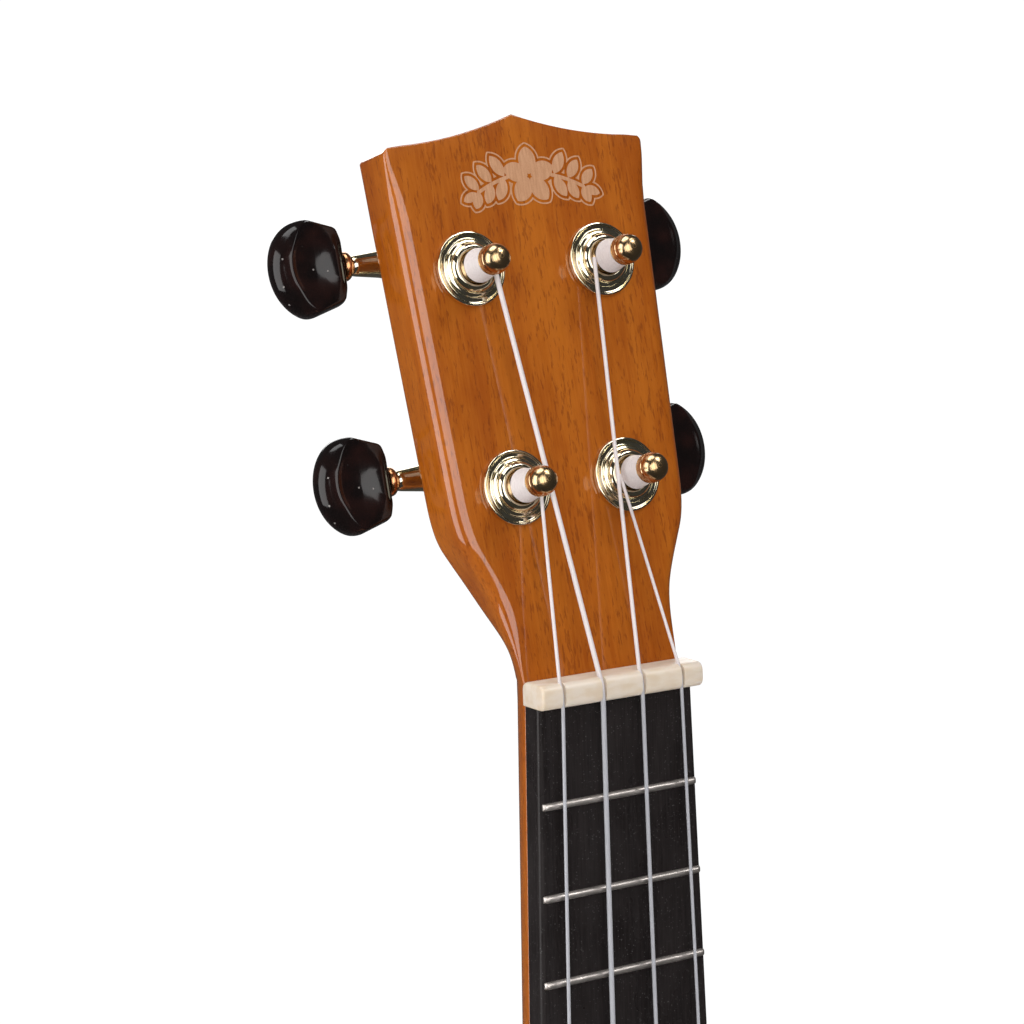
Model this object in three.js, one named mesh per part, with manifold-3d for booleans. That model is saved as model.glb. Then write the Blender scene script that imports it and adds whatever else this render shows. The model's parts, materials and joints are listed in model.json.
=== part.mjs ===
// Soprano ukulele with geared tuners. Millimetres, +Z towards the head, the front faces -Y, and the
// treble side is +X. The origin is on the centre line, in the fretboard's top plane, where the nut
// meets the fretboard.
import * as THREE from 'three';
import { mergeVertices } from 'three/addons/utils/BufferGeometryUtils.js';
import Module from 'manifold-3d';

const wasm = await Module();
wasm.setup();

// ---------------------------------------------------------------- driving dimensions
const SCALE_LENGTH = 345;
const FRET_COUNT = 12;
const GAP = 0.05;

const BOARD_THICK = 4.8;
const BOARD_HALF = 17.9;
const BOARD_TAPER = 0.026;
const BOARD_OVERHANG = 9;

const NUT_LENGTH = 37.3;
const NUT_THICK = 5;
const NUT_PROUD = 3.1;
const NUT_ROUND = 1.9;
const NUT_FRONT_ROUND = 0.6;
const GROOVE_CLEARANCE = 0.1;

const SLOT_HALF = 0.3;
const SLOT_DEPTH = 2;
const TANG_HALF = 0.25;
const TANG_DEPTH = 1.9;
const CROWN_HALF = 1;
const CROWN_HEIGHT = 1.05;
const FRET_INSET = 0.5;

const HEAD_TILT = THREE.MathUtils.degToRad(13.9);
const HEAD_STEP = 5.2;
const HEAD_THICK = 11.9;
const HEAD_HALF = 30;
const HEAD_LENGTH = 106;
const HEAD_PEAK = 111.3;
const HEAD_CORNER = 2;

const NECK_DEPTH = 13.1;
const HEEL_DEPTH = 66;
const HEEL_LENGTH = 14;
const HEEL_SWEEP = 32;
const HEEL_CAP_THICK = 3;
const HEEL_CAP_PROUD = 0.6;

const BODY_LENGTH = 240;
const BODY_DEPTH = 60;
const PLATE_THICK = 1.8;
const WALL_THICK = 1.8;
const HOLE_RADIUS = 24;
const HOLE_DROP = 83;
const LINING_WIDTH = 4.6;
const LINING_DEPTH = 8;
const BLOCK_DEPTH = 12;
const NECK_BLOCK_HALF = 20;
const TAIL_BLOCK_HALF = 24;
const BRACE_WIDTH = 6;
const BRACE_TIP = 2;
const BRACE_SCOOP = 20;
const FRONT_BRACE_HEIGHT = 8;
const BACK_BRACE_HEIGHT = 7;

const BRIDGE_LENGTH = 66;
const BRIDGE_WIDTH = 19;
const BRIDGE_HEIGHT = 6.5;
const WING_HEIGHT = 3.4;
const SADDLE_LENGTH = 50;
const SADDLE_THICK = 2.5;
const SADDLE_SINK = 3;
const BRIDGE_PLATE = { half: 36, above: 12, below: 16, thick: 2, corner: 4 };
const SADDLE_Z = -(SCALE_LENGTH + 1);

const NUT_SPREAD = 13.8;
const SADDLE_SPREAD = 21.2;
const STRING_AT_NUT = -2.3;
const STRING_AT_SADDLE = -5;

const WORM_AXIS = { y: 20, z: 5.8 };
const GEAR_TEETH = 14;
const GEAR_PITCH = 3.85;
const GEAR_FACE = 3;
const WORM_RADIUS = 1.9;
const THREAD_HEIGHT = 0.45;
const THREAD_TURNS = 3;
const POST_RADIUS = 3.2;
const POST_CLEARANCE = 0.12;
const POST_TIP = -13.2;
const BUSHING_BARREL = 4.4;
const BUSHING_FLANGE = 7.5;
const POST_HOLE = 4.55;
const SHAFT_RADIUS = 1.25;
const SHAFT_BORE = 1.35;
const HOUSING = { half: 6.6, low: -6.4, high: 9.9, front: 13, back: 24, wall: 1.1 };
const SNOUT_END = 15.4;
const EAR_LENGTH = 5.2;
const SCREW_HOLE = 1.1;
const COLLAR_RADIUS = 2.95;
const BUTTON_START = 17.7;
const BUTTON_LENGTH = 14.6;
const BUTTON_THICK = 8;
const BUTTON_TALL = 9.8;
const BUTTON_WIDEST = 7.2;
const BUTTON_BORE = 8;
const BUTTON_CHAMFER = 1;

// Each string: its gauge, and its tuning post's place on the head.
const STRINGS = [
  { name: 'g', gauge: 0.71, postU: -12.8, postV: 37.2, exit: 3.9 },
  { name: 'c', gauge: 1.02, postU: -15.2, postV: 80.8, exit: 3.8 },
  { name: 'e', gauge: 0.81, postU: 15.2, postV: 80.8, exit: 3.2 },
  { name: 'a', gauge: 0.66, postU: 12.8, postV: 37.2, exit: 3.4 },
];

// ---------------------------------------------------------------- derived places
const NECK_TOP = BOARD_THICK + GAP;
const JOINT_Z = -(SCALE_LENGTH - SCALE_LENGTH / 2 ** (FRET_COUNT / 12));
const BODY_FRONT = NECK_TOP;
const TAIL_Z = JOINT_Z - BODY_LENGTH;
const INNER_FRONT = BODY_FRONT + PLATE_THICK + GAP;
const BACK_FRONT = BODY_FRONT + BODY_DEPTH - PLATE_THICK;
const INNER_BACK = BACK_FRONT - GAP;
const HOLE_Z = JOINT_Z - HOLE_DROP;
const LEAD = (2 * Math.PI * GEAR_PITCH) / GEAR_TEETH;
const BRIDGE_TOP = BOARD_THICK - BRIDGE_HEIGHT;

const fretZ = (k) => -(SCALE_LENGTH - SCALE_LENGTH / 2 ** (k / 12));
const boardHalf = (z) => BOARD_HALF + BOARD_TAPER * -z;

// ---------------------------------------------------------------- finishes
const finish = (color, roughness, metalness = 0) =>
  new THREE.MeshStandardMaterial({ color, roughness, metalness });
const lacqueredWood = finish(0xa8591c, 0.25);
const rawWood = finish(0xc79a62, 0.8);
const darkWood = finish(0x242224, 0.5);
const cream = finish(0xdccfb4, 0.35);
const nylon = finish(0xdcd8e2, 0.3);
const fretMetal = finish(0xc9c3b4, 0.3, 1);
const goldPlate = finish(0xd9c07a, 0.2, 1);
const brass = finish(0xb98b4a, 0.3, 1);
const blackPlastic = finish(0x0c0b0c, 0.12);

// ---------------------------------------------------------------- solid helpers
// Merges shared corners, drops collapsed faces and turns the faces outwards.
function closed(geometry) {
  const bare = geometry.clone();
  bare.deleteAttribute('normal');
  bare.deleteAttribute('uv');
  const merged = mergeVertices(bare, 1e-4);
  const place = merged.attributes.position;
  const faces = [];
  let volume = 0;
  const corner = (i) => new THREE.Vector3().fromBufferAttribute(place, i);
  for (let i = 0; i < merged.index.count; i += 3) {
    const [a, b, c] = [0, 1, 2].map((k) => merged.index.getX(i + k));
    if (a === b || b === c || c === a) continue;
    faces.push(a, b, c);
    volume += corner(a).dot(corner(b).cross(corner(c)));
  }
  if (volume < 0) faces.reverse();
  merged.setIndex(faces);
  return merged;
}

function solid(geometry) {
  const shape = closed(geometry);
  const vertProperties = new Float32Array(shape.attributes.position.array);
  const triVerts = new Uint32Array(shape.index.array);
  return new wasm.Manifold(new wasm.Mesh({ numProp: 3, vertProperties, triVerts }));
}

function geometryOf(body) {
  const mesh = body.getMesh();
  const geometry = new THREE.BufferGeometry();
  geometry.setAttribute('position', new THREE.BufferAttribute(mesh.vertProperties, 3));
  geometry.setIndex(new THREE.BufferAttribute(mesh.triVerts, 1));
  return geometry;
}

// Cuts every tool from the blank.
function cut(blank, ...tools) {
  return geometryOf(tools.reduce((body, tool) => body.subtract(solid(tool)), solid(blank)));
}

function join(first, ...others) {
  return geometryOf(others.reduce((body, other) => body.add(solid(other)), solid(first)));
}

const X = new THREE.Vector3(1, 0, 0);
const Y = new THREE.Vector3(0, 1, 0);
const Z = new THREE.Vector3(0, 0, 1);

// A plate: an outline in X and Z, from y = front backwards.
function plate(outline, front, thickness, steps = 12) {
  const geometry = new THREE.ExtrudeGeometry(outline, {
    depth: thickness,
    bevelEnabled: false,
    curveSegments: steps,
  });
  geometry.applyMatrix4(new THREE.Matrix4().makeBasis(X, Z, Y.clone().negate()));
  return geometry.translate(0, front + thickness, 0);
}

// A bar: an outline in Y and Z, drawn along X from one end to the other.
function bar(outline, from, to, steps = 6) {
  const geometry = new THREE.ExtrudeGeometry(outline, {
    depth: to - from,
    bevelEnabled: false,
    curveSegments: steps,
  });
  geometry.applyMatrix4(new THREE.Matrix4().makeBasis(Y, Z, X));
  return geometry.translate(from, 0, 0);
}

// A box from its low and high corners.
function block(low, high) {
  const size = high.map((value, i) => value - low[i]);
  return new THREE.BoxGeometry(...size).translate(...low.map((value, i) => value + size[i] / 2));
}

// A turned piece about the Y axis, from [radius, y] pairs.
function turned(profile, sides = 16) {
  return new THREE.LatheGeometry(profile.map(([r, y]) => new THREE.Vector2(r, y)), sides);
}

const polygon = (points) => new THREE.Shape(points.map(([a, b]) => new THREE.Vector2(a, b)));

function roundedRectangle(x0, x1, z0, z1, radius) {
  const shape = new THREE.Shape();
  shape.moveTo(x0 + radius, z0);
  shape.lineTo(x1 - radius, z0);
  shape.absarc(x1 - radius, z0 + radius, radius, -Math.PI / 2, 0);
  shape.lineTo(x1, z1 - radius);
  shape.absarc(x1 - radius, z1 - radius, radius, 0, Math.PI / 2);
  shape.lineTo(x0 + radius, z1);
  shape.absarc(x0 + radius, z1 - radius, radius, Math.PI / 2, Math.PI);
  shape.lineTo(x0, z0 + radius);
  shape.absarc(x0 + radius, z0 + radius, radius, Math.PI, 1.5 * Math.PI);
  return shape;
}

// Skins equal-length rings of points, with a flat cap on each end.
function loft(rings) {
  const count = rings[0].length;
  const positions = rings.flat().flatMap((point) => point.toArray());
  const index = [];
  for (let r = 0; r + 1 < rings.length; r += 1) {
    for (let i = 0; i < count; i += 1) {
      const a = r * count + i;
      const b = r * count + ((i + 1) % count);
      index.push(a, b, b + count, a, b + count, a + count);
    }
  }
  const top = (rings.length - 1) * count;
  for (let i = 1; i + 1 < count; i += 1) {
    index.push(0, i + 1, i);
    index.push(top, top + i, top + i + 1);
  }
  const geometry = new THREE.BufferGeometry();
  geometry.setAttribute('position', new THREE.Float32BufferAttribute(positions, 3));
  geometry.setIndex(index);
  return geometry;
}

const model = new THREE.Group();

function add(name, geometry, material, parent = model) {
  const mesh = new THREE.Mesh(closed(geometry), material);
  mesh.name = name;
  parent.add(mesh);
  return mesh;
}

// The head's own frame: X across, Y into the wood, Z up the head's face.
function headFrame() {
  const group = new THREE.Group();
  group.position.set(0, HEAD_STEP, NUT_THICK);
  group.rotation.x = -HEAD_TILT;
  model.add(group);
  return group;
}

// A point on the head as seen from the instrument: across, up the face, and out of the face.
function onHead(u, v, out) {
  const depth = new THREE.Vector3(0, Math.cos(HEAD_TILT), -Math.sin(HEAD_TILT));
  const along = new THREE.Vector3(0, Math.sin(HEAD_TILT), Math.cos(HEAD_TILT));
  return new THREE.Vector3(u, HEAD_STEP, NUT_THICK).addScaledVector(along, v).addScaledVector(depth, -out);
}

// ---------------------------------------------------------------- neck and head
// Half the head's width, from the neck through the shoulders to the top corners.
const HEAD_SIDE = new THREE.CurvePath();
HEAD_SIDE.add(new THREE.CubicBezierCurve(
  new THREE.Vector2(0, 18), new THREE.Vector2(13.5, 18.9),
  new THREE.Vector2(18.5, 22), new THREE.Vector2(26, 25.3),
));
HEAD_SIDE.add(new THREE.QuadraticBezierCurve(
  new THREE.Vector2(26, 25.3), new THREE.Vector2(29.5, 26.8), new THREE.Vector2(36, 27.1),
));
HEAD_SIDE.add(new THREE.LineCurve(new THREE.Vector2(36, 27.1), new THREE.Vector2(120, HEAD_HALF + 0.6)));

// The neck's cross-section at a height: a flat front, and a back that goes from round to square.
function neckRing(z, half, front, depth, squareness, backLimit = Infinity) {
  const points = [];
  const steps = 18;
  for (let i = 0; i <= steps; i += 1) {
    const angle = (Math.PI * i) / steps;
    const across = Math.sign(Math.cos(angle)) * Math.abs(Math.cos(angle)) ** (2 / squareness);
    const back = Math.abs(Math.sin(angle)) ** (2 / squareness);
    points.push(new THREE.Vector3(half * across, Math.min(front + depth * back, backLimit), z));
  }
  return points;
}

function headRing(v, half) {
  const z = NUT_THICK + v * Math.cos(HEAD_TILT);
  const front = HEAD_STEP + v * Math.sin(HEAD_TILT);
  const slabBack = front + HEAD_THICK / Math.cos(HEAD_TILT);
  const roundBack = NECK_TOP + NECK_DEPTH;
  const blend = THREE.MathUtils.smoothstep(v, 2, 30);
  const squareness = 2 + 16 * blend ** 1.5;
  return neckRing(z, half, front, Math.max(slabBack, roundBack) - front, squareness);
}

function neckBlank() {
  const heelBack = BODY_FRONT + BODY_DEPTH - HEEL_CAP_THICK;
  const heelStart = JOINT_Z + HEEL_LENGTH;
  const rings = [];
  rings.push(neckRing(JOINT_Z + GAP, boardHalf(JOINT_Z), NECK_TOP, HEEL_DEPTH, 2, heelBack));
  for (let i = 0; i <= 8; i += 1) {
    const angle = (Math.PI / 2) * (1 - i / 8);
    const z = heelStart + HEEL_SWEEP * (1 - Math.sin(angle));
    const depth = NECK_DEPTH + (HEEL_DEPTH - NECK_DEPTH) * (1 - Math.cos(angle));
    rings.push(neckRing(z, boardHalf(z), NECK_TOP, depth, 2, heelBack));
  }
  for (const z of [-60, 0, NUT_THICK]) {
    rings.push(neckRing(z, boardHalf(Math.min(z, 0)), NECK_TOP, NECK_DEPTH, 2));
  }
  for (const share of [0.02, 0.1, 0.2, 0.3, 0.4, 0.5, 0.6, 0.7, 0.8, 0.9, 1]) {
    const side = HEAD_SIDE.curves[0].getPoint(share);
    rings.push(headRing(side.x, side.y));
  }
  for (const share of [0.25, 0.5, 0.75, 1]) {
    const side = HEAD_SIDE.curves[1].getPoint(share);
    rings.push(headRing(side.x, side.y));
  }
  const top = HEAD_SIDE.curves[2].getPoint(1);
  rings.push(headRing(top.x, top.y));
  return loft(rings);
}

// What is sawn off above the head: two hollow curves that meet in a peak.
function headTopCutter() {
  const edge = HEAD_HALF;
  const far = HEAD_HALF + 12;
  const shape = new THREE.Shape();
  shape.moveTo(-far, HEAD_LENGTH - HEAD_CORNER);
  shape.lineTo(-edge, HEAD_LENGTH - HEAD_CORNER);
  shape.quadraticCurveTo(-edge, HEAD_LENGTH, -edge + HEAD_CORNER, HEAD_LENGTH + 0.02);
  shape.quadraticCurveTo(-edge / 2, HEAD_LENGTH, 0, HEAD_PEAK);
  shape.quadraticCurveTo(edge / 2, HEAD_LENGTH, edge - HEAD_CORNER, HEAD_LENGTH + 0.02);
  shape.quadraticCurveTo(edge, HEAD_LENGTH, edge, HEAD_LENGTH - HEAD_CORNER);
  shape.lineTo(far, HEAD_LENGTH - HEAD_CORNER);
  shape.lineTo(far, HEAD_LENGTH + 30);
  shape.lineTo(-far, HEAD_LENGTH + 30);
  return toHead(plate(shape, -8, HEAD_THICK + 20, 8));
}

// Moves a shape made in the head's frame to the instrument's frame.
function toHead(geometry) {
  return geometry.rotateX(-HEAD_TILT).translate(0, HEAD_STEP, NUT_THICK);
}

function postHole(string) {
  const depth = HEAD_THICK + 6;
  const hole = new THREE.CylinderGeometry(POST_HOLE, POST_HOLE, depth, 16);
  return toHead(hole.translate(string.postU, HEAD_THICK / 2, string.postV));
}

add('neck', cut(neckBlank(), headTopCutter(), ...STRINGS.map(postHole)), lacqueredWood);

// The cap that closes the heel's flat end, flush with the back.
function heelCap() {
  const front = BODY_FRONT + BODY_DEPTH - HEEL_CAP_THICK + GAP;
  const reach = Math.sqrt(1 - ((front - NECK_TOP) / HEEL_DEPTH) ** 2);
  const half = boardHalf(JOINT_Z) * reach;
  const low = JOINT_Z + GAP;
  const shoulder = JOINT_Z + HEEL_LENGTH - HEEL_CAP_THICK;
  const high = JOINT_Z + HEEL_LENGTH + HEEL_CAP_PROUD;
  const shape = new THREE.Shape();
  shape.moveTo(-half, low);
  shape.lineTo(half, low);
  shape.lineTo(half, shoulder);
  shape.quadraticCurveTo(half, high, 0, high);
  shape.quadraticCurveTo(-half, high, -half, shoulder);
  return plate(shape, front, HEEL_CAP_THICK - GAP, 4);
}

add('heel_cap', heelCap(), darkWood);

// ---------------------------------------------------------------- fretboard, frets and nut
function fretboard() {
  const end = JOINT_Z - BOARD_OVERHANG;
  const outline = polygon([
    [-boardHalf(end), end], [boardHalf(end), end], [BOARD_HALF, 0], [-BOARD_HALF, 0],
  ]);
  const slots = [];
  for (let k = 1; k <= FRET_COUNT; k += 1) {
    const half = boardHalf(fretZ(k)) - FRET_INSET + GAP;
    slots.push(block([-half, -1, fretZ(k) - SLOT_HALF], [half, SLOT_DEPTH, fretZ(k) + SLOT_HALF]));
  }
  return cut(plate(outline, 0, BOARD_THICK), ...slots);
}

// Fret wire: a half-round crown on the board and a tang in its slot.
function fretWire(k) {
  const z = fretZ(k);
  const half = boardHalf(z) - FRET_INSET;
  const section = new THREE.Shape();
  section.moveTo(TANG_DEPTH, z - TANG_HALF);
  section.lineTo(TANG_DEPTH, z + TANG_HALF);
  section.lineTo(-GAP, z + TANG_HALF);
  section.lineTo(-GAP, z + CROWN_HALF);
  section.quadraticCurveTo(-CROWN_HEIGHT, z + CROWN_HALF, -CROWN_HEIGHT, z);
  section.quadraticCurveTo(-CROWN_HEIGHT, z - CROWN_HALF, -GAP, z - CROWN_HALF);
  section.lineTo(-GAP, z - TANG_HALF);
  return bar(section, -half, half, 3);
}

add('fretboard', fretboard(), darkWood);
for (let k = 1; k <= FRET_COUNT; k += 1) {
  add(`fret_${String(k).padStart(2, '0')}`, fretWire(k), fretMetal);
}

const stringX = (i, spread) => spread * (-1 + (2 * i) / (STRINGS.length - 1));

// The nut: a rounded bar across the board's end, with a groove for each string.
function nut() {
  const section = new THREE.Shape();
  section.moveTo(BOARD_THICK, GAP);
  section.lineTo(BOARD_THICK, NUT_THICK);
  section.lineTo(-NUT_PROUD + NUT_ROUND, NUT_THICK);
  section.quadraticCurveTo(-NUT_PROUD, NUT_THICK, -NUT_PROUD, NUT_THICK - NUT_ROUND);
  section.lineTo(-NUT_PROUD, NUT_FRONT_ROUND + GAP);
  section.quadraticCurveTo(-NUT_PROUD, GAP, -NUT_PROUD + NUT_FRONT_ROUND, GAP);
  const grooves = STRINGS.map((string, i) => {
    const x = stringX(i, NUT_SPREAD);
    const half = string.gauge / 2 + GROOVE_CLEARANCE;
    const groove = new THREE.Shape();
    const floor = STRING_AT_NUT + string.gauge / 2 + GAP;
    groove.moveTo(-NUT_PROUD - 2, -1);
    groove.lineTo(floor - 0.05, -1);
    groove.lineTo(floor, NUT_THICK * 0.35);
    groove.lineTo(floor + 1.35, NUT_THICK + 1);
    groove.lineTo(-NUT_PROUD - 2, NUT_THICK + 1);
    return bar(groove, x - half, x + half);
  });
  return cut(bar(section, -NUT_LENGTH / 2, NUT_LENGTH / 2, 4), ...grooves);
}

add('nut', nut(), cream);

// ---------------------------------------------------------------- body
// Half the body's outline, from the neck joint down to the tail, in X and Z.
function halfOutline(start) {
  const path = new THREE.Path();
  const z = (drop) => JOINT_Z - drop;
  path.moveTo(start, z(0));
  path.lineTo(22, z(0));
  path.bezierCurveTo(47, z(0), 63.5, z(15), 63.5, z(43));
  path.bezierCurveTo(63.5, z(63), 52.5, z(73), 52.5, z(95));
  path.bezierCurveTo(52.5, z(122), 85, z(138), 85, z(176));
  path.bezierCurveTo(85, z(214), 52, z(BODY_LENGTH), start, z(BODY_LENGTH));
  return path.getPoints(9);
}

// The same line moved inwards by an even distance.
function inset(points, distance) {
  return points.map((point, i) => {
    const before = points[Math.max(i - 1, 0)];
    const after = points[Math.min(i + 1, points.length - 1)];
    const along = after.clone().sub(before).normalize();
    const inner = new THREE.Vector2(point.x + along.y * distance, point.y - along.x * distance);
    const end = i === 0 || i === points.length - 1;
    return end ? new THREE.Vector2(point.x, inner.y) : inner;
  });
}

const flipped = (points) => points.map((point) => new THREE.Vector2(-point.x, point.y));

// The whole outline, moved inwards by a distance.
function bodyOutline(distance) {
  const right = inset(halfOutline(0), distance).slice(1);
  const left = flipped(right).reverse().slice(1);
  return [...right, ...left];
}

// Half the width between the side walls at a height, less a margin.
function halfWidth(z, margin) {
  const line = inset(halfOutline(0), margin);
  const i = line.findIndex((point, k) => k > 1 && point.y <= z);
  const share = (z - line[i - 1].y) / (line[i].y - line[i - 1].y);
  return THREE.MathUtils.lerp(line[i - 1].x, line[i].x, share);
}

function sideWall(side) {
  const outer = halfOutline(GAP);
  const inner = inset(outer, WALL_THICK).reverse();
  const line = [...outer, ...inner];
  const outline = new THREE.Shape(side > 0 ? line : flipped(line));
  return plate(outline, INNER_FRONT, INNER_BACK - INNER_FRONT);
}

function soundboard() {
  const outline = new THREE.Shape(bodyOutline(0));
  const hole = new THREE.Path();
  hole.absarc(0, HOLE_Z, HOLE_RADIUS, 0, 2 * Math.PI);
  outline.holes.push(hole);
  return plate(outline, BODY_FRONT, PLATE_THICK, 18);
}

// A lining glued round the inside corner of the sides.
function lining(front) {
  const outer = new THREE.Shape(bodyOutline(WALL_THICK + GAP));
  const inner = new THREE.Shape(bodyOutline(WALL_THICK + LINING_WIDTH));
  return cut(plate(outer, front, LINING_DEPTH), plate(inner, front - 1, LINING_DEPTH + 2));
}

// A block between front and back, shaped to the sides and stepped to clear the linings.
function innerBlock(z0, z1, half) {
  const within = (distance, front, back) => {
    const inside = plate(new THREE.Shape(bodyOutline(distance)), front, back - front);
    return solid(inside).intersect(solid(block([-half, front, z0], [half, back, z1])));
  };
  const low = INNER_FRONT + LINING_DEPTH + GAP;
  const high = INNER_BACK - LINING_DEPTH - GAP;
  const core = within(WALL_THICK + LINING_WIDTH + GAP, INNER_FRONT, INNER_BACK);
  return geometryOf(core.add(within(WALL_THICK + GAP, low, high)));
}

// A brace across a plate, thinned towards its ends.
function brace(z, height, glueFace, direction) {
  const half = halfWidth(z, WALL_THICK + LINING_WIDTH + 2);
  const tip = glueFace + direction * BRACE_TIP;
  const top = glueFace + direction * height;
  const shape = new THREE.Shape();
  shape.moveTo(-half, glueFace);
  shape.lineTo(half, glueFace);
  shape.lineTo(half, tip);
  shape.quadraticCurveTo(half - BRACE_SCOOP * 0.7, tip, half - BRACE_SCOOP, top);
  shape.lineTo(-half + BRACE_SCOOP, top);
  shape.quadraticCurveTo(-half + BRACE_SCOOP * 0.7, tip, -half, tip);
  const geometry = new THREE.ExtrudeGeometry(shape, {
    depth: BRACE_WIDTH,
    bevelEnabled: false,
    curveSegments: 4,
  });
  return geometry.translate(0, 0, z - BRACE_WIDTH / 2);
}

add('soundboard', soundboard(), lacqueredWood);
add('back_plate', plate(new THREE.Shape(bodyOutline(0)), BACK_FRONT, PLATE_THICK), lacqueredWood);
add('side_treble', sideWall(1), lacqueredWood);
add('side_bass', sideWall(-1), lacqueredWood);
add('lining_front', lining(INNER_FRONT), rawWood);
add('lining_back', lining(INNER_BACK - LINING_DEPTH), rawWood);
add('neck_block', innerBlock(JOINT_Z - BLOCK_DEPTH - WALL_THICK, JOINT_Z, NECK_BLOCK_HALF), rawWood);
add('tail_block', innerBlock(TAIL_Z, TAIL_Z + BLOCK_DEPTH + WALL_THICK, TAIL_BLOCK_HALF), rawWood);
add('upper_brace', brace(HOLE_Z + HOLE_RADIUS + 14, FRONT_BRACE_HEIGHT, INNER_FRONT, 1), rawWood);
add('lower_brace', brace(HOLE_Z - HOLE_RADIUS - 12, FRONT_BRACE_HEIGHT, INNER_FRONT, 1), rawWood);
add('back_brace_upper', brace(JOINT_Z - 62, BACK_BRACE_HEIGHT, INNER_BACK, -1), rawWood);
add('back_brace_lower', brace(JOINT_Z - 168, BACK_BRACE_HEIGHT, INNER_BACK, -1), rawWood);

function bridgePlate() {
  const { half, above, below, thick, corner } = BRIDGE_PLATE;
  const outline = roundedRectangle(-half, half, SADDLE_Z - below, SADDLE_Z + above, corner);
  return plate(outline, INNER_FRONT, thick, 3);
}

add('bridge_plate', bridgePlate(), rawWood);

// ---------------------------------------------------------------- bridge and saddle
const BRIDGE_FRONT_Z = SADDLE_Z + 6;
const BRIDGE_REAR_Z = BRIDGE_FRONT_Z - BRIDGE_WIDTH;

// The bridge: a block with low wings, a saddle slot, and a groove for each string's knotted end.
function bridge() {
  const half = BRIDGE_LENGTH / 2;
  const high = half - 6;
  const wing = BOARD_THICK - WING_HEIGHT;
  const shape = new THREE.Shape();
  shape.moveTo(-half, BOARD_THICK);
  shape.lineTo(half, BOARD_THICK);
  shape.lineTo(half, wing + 1);
  shape.lineTo(half - 1, wing);
  shape.quadraticCurveTo(high + 1, wing, high, BRIDGE_TOP);
  shape.lineTo(-high, BRIDGE_TOP);
  shape.quadraticCurveTo(-high - 1, wing, -half + 1, wing);
  shape.lineTo(-half, wing + 1);
  const body = new THREE.ExtrudeGeometry(shape, {
    depth: BRIDGE_WIDTH,
    bevelEnabled: false,
    curveSegments: 4,
  });
  body.translate(0, 0, BRIDGE_REAR_Z);
  const halfSlot = SADDLE_LENGTH / 2 + GAP;
  const halfThick = SADDLE_THICK / 2 + GAP;
  const saddleSlot = block(
    [-halfSlot, BRIDGE_TOP - 1, SADDLE_Z - halfThick],
    [halfSlot, BRIDGE_TOP + SADDLE_SINK + GAP, SADDLE_Z + halfThick],
  );
  const grooves = STRINGS.map((string, i) => {
    const x = stringX(i, SADDLE_SPREAD);
    const wide = string.gauge / 2 + 0.2;
    return block([x - wide, BRIDGE_TOP - 1, BRIDGE_REAR_Z - 1], [x + wide, BRIDGE_TOP + 2, SADDLE_Z - 3.5]);
  });
  return cut(body, saddleSlot, ...grooves);
}

function saddle() {
  const crown = STRING_AT_SADDLE + 0.6;
  const half = SADDLE_THICK / 2;
  const section = new THREE.Shape();
  section.moveTo(BRIDGE_TOP + SADDLE_SINK, SADDLE_Z - half);
  section.lineTo(BRIDGE_TOP + SADDLE_SINK, SADDLE_Z + half);
  section.lineTo(crown + 0.9, SADDLE_Z + half);
  section.quadraticCurveTo(crown, SADDLE_Z + half, crown, SADDLE_Z);
  section.quadraticCurveTo(crown, SADDLE_Z - half, crown + 0.9, SADDLE_Z - half);
  return bar(section, -SADDLE_LENGTH / 2, SADDLE_LENGTH / 2, 4);
}

add('bridge', bridge(), darkWood);
add('saddle', saddle(), cream);

// ---------------------------------------------------------------- strings
// A route through fixed stops, one step of the extrusion to each stop.
class Route extends THREE.Curve {
  constructor(stops) {
    super();
    this.stops = stops;
  }

  getPointAt(share) {
    return this.stops[Math.round(share * (this.stops.length - 1))].clone();
  }

  getTangentAt(share) {
    const last = this.stops.length - 1;
    const i = Math.round(share * last);
    const tangent = new THREE.Vector3();
    if (i > 0) tangent.add(this.stops[i].clone().sub(this.stops[i - 1]).normalize());
    if (i < last) tangent.add(this.stops[i + 1].clone().sub(this.stops[i]).normalize());
    return tangent.normalize();
  }
}

// From the knot behind the bridge, over the saddle and the nut, to the side of its post.
function stringStops(string, i) {
  const nutX = stringX(i, NUT_SPREAD);
  const saddleX = stringX(i, SADDLE_SPREAD);
  const side = Math.sign(string.postU);
  const exit = onHead(string.postU - side * 3.35, string.postV, string.exit);
  const behind = new THREE.Vector3(nutX, STRING_AT_NUT + 0.95, NUT_THICK);
  return [
    new THREE.Vector3(saddleX, BRIDGE_TOP + 1.1, BRIDGE_REAR_Z - 1.6),
    new THREE.Vector3(saddleX, BRIDGE_TOP + 1.1, SADDLE_Z - 6.4),
    new THREE.Vector3(saddleX, BRIDGE_TOP + 0.2, SADDLE_Z - 4.9),
    new THREE.Vector3(saddleX, STRING_AT_SADDLE + 0.15, SADDLE_Z - 0.8),
    new THREE.Vector3(saddleX, STRING_AT_SADDLE, SADDLE_Z + 0.2),
    new THREE.Vector3(nutX, STRING_AT_NUT, 0),
    new THREE.Vector3(nutX, STRING_AT_NUT + 0.05, NUT_THICK * 0.45),
    new THREE.Vector3(nutX, STRING_AT_NUT + 0.35, NUT_THICK * 0.75),
    behind,
    exit,
  ];
}

STRINGS.forEach((string, i) => {
  const stops = stringStops(string, i);
  const section = new THREE.Shape().absarc(0, 0, string.gauge / 2, 0, 2 * Math.PI);
  const geometry = new THREE.ExtrudeGeometry(section, {
    steps: stops.length - 1,
    curveSegments: 4,
    extrudePath: new Route(stops),
  });
  add(`string_${string.name}`, geometry, nylon);
});

// ---------------------------------------------------------------- tuners
// Every tuner is made in its post's frame: Y runs down the post into the head, Z up the head, and
// its shaft leaves to one side along X.

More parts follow.
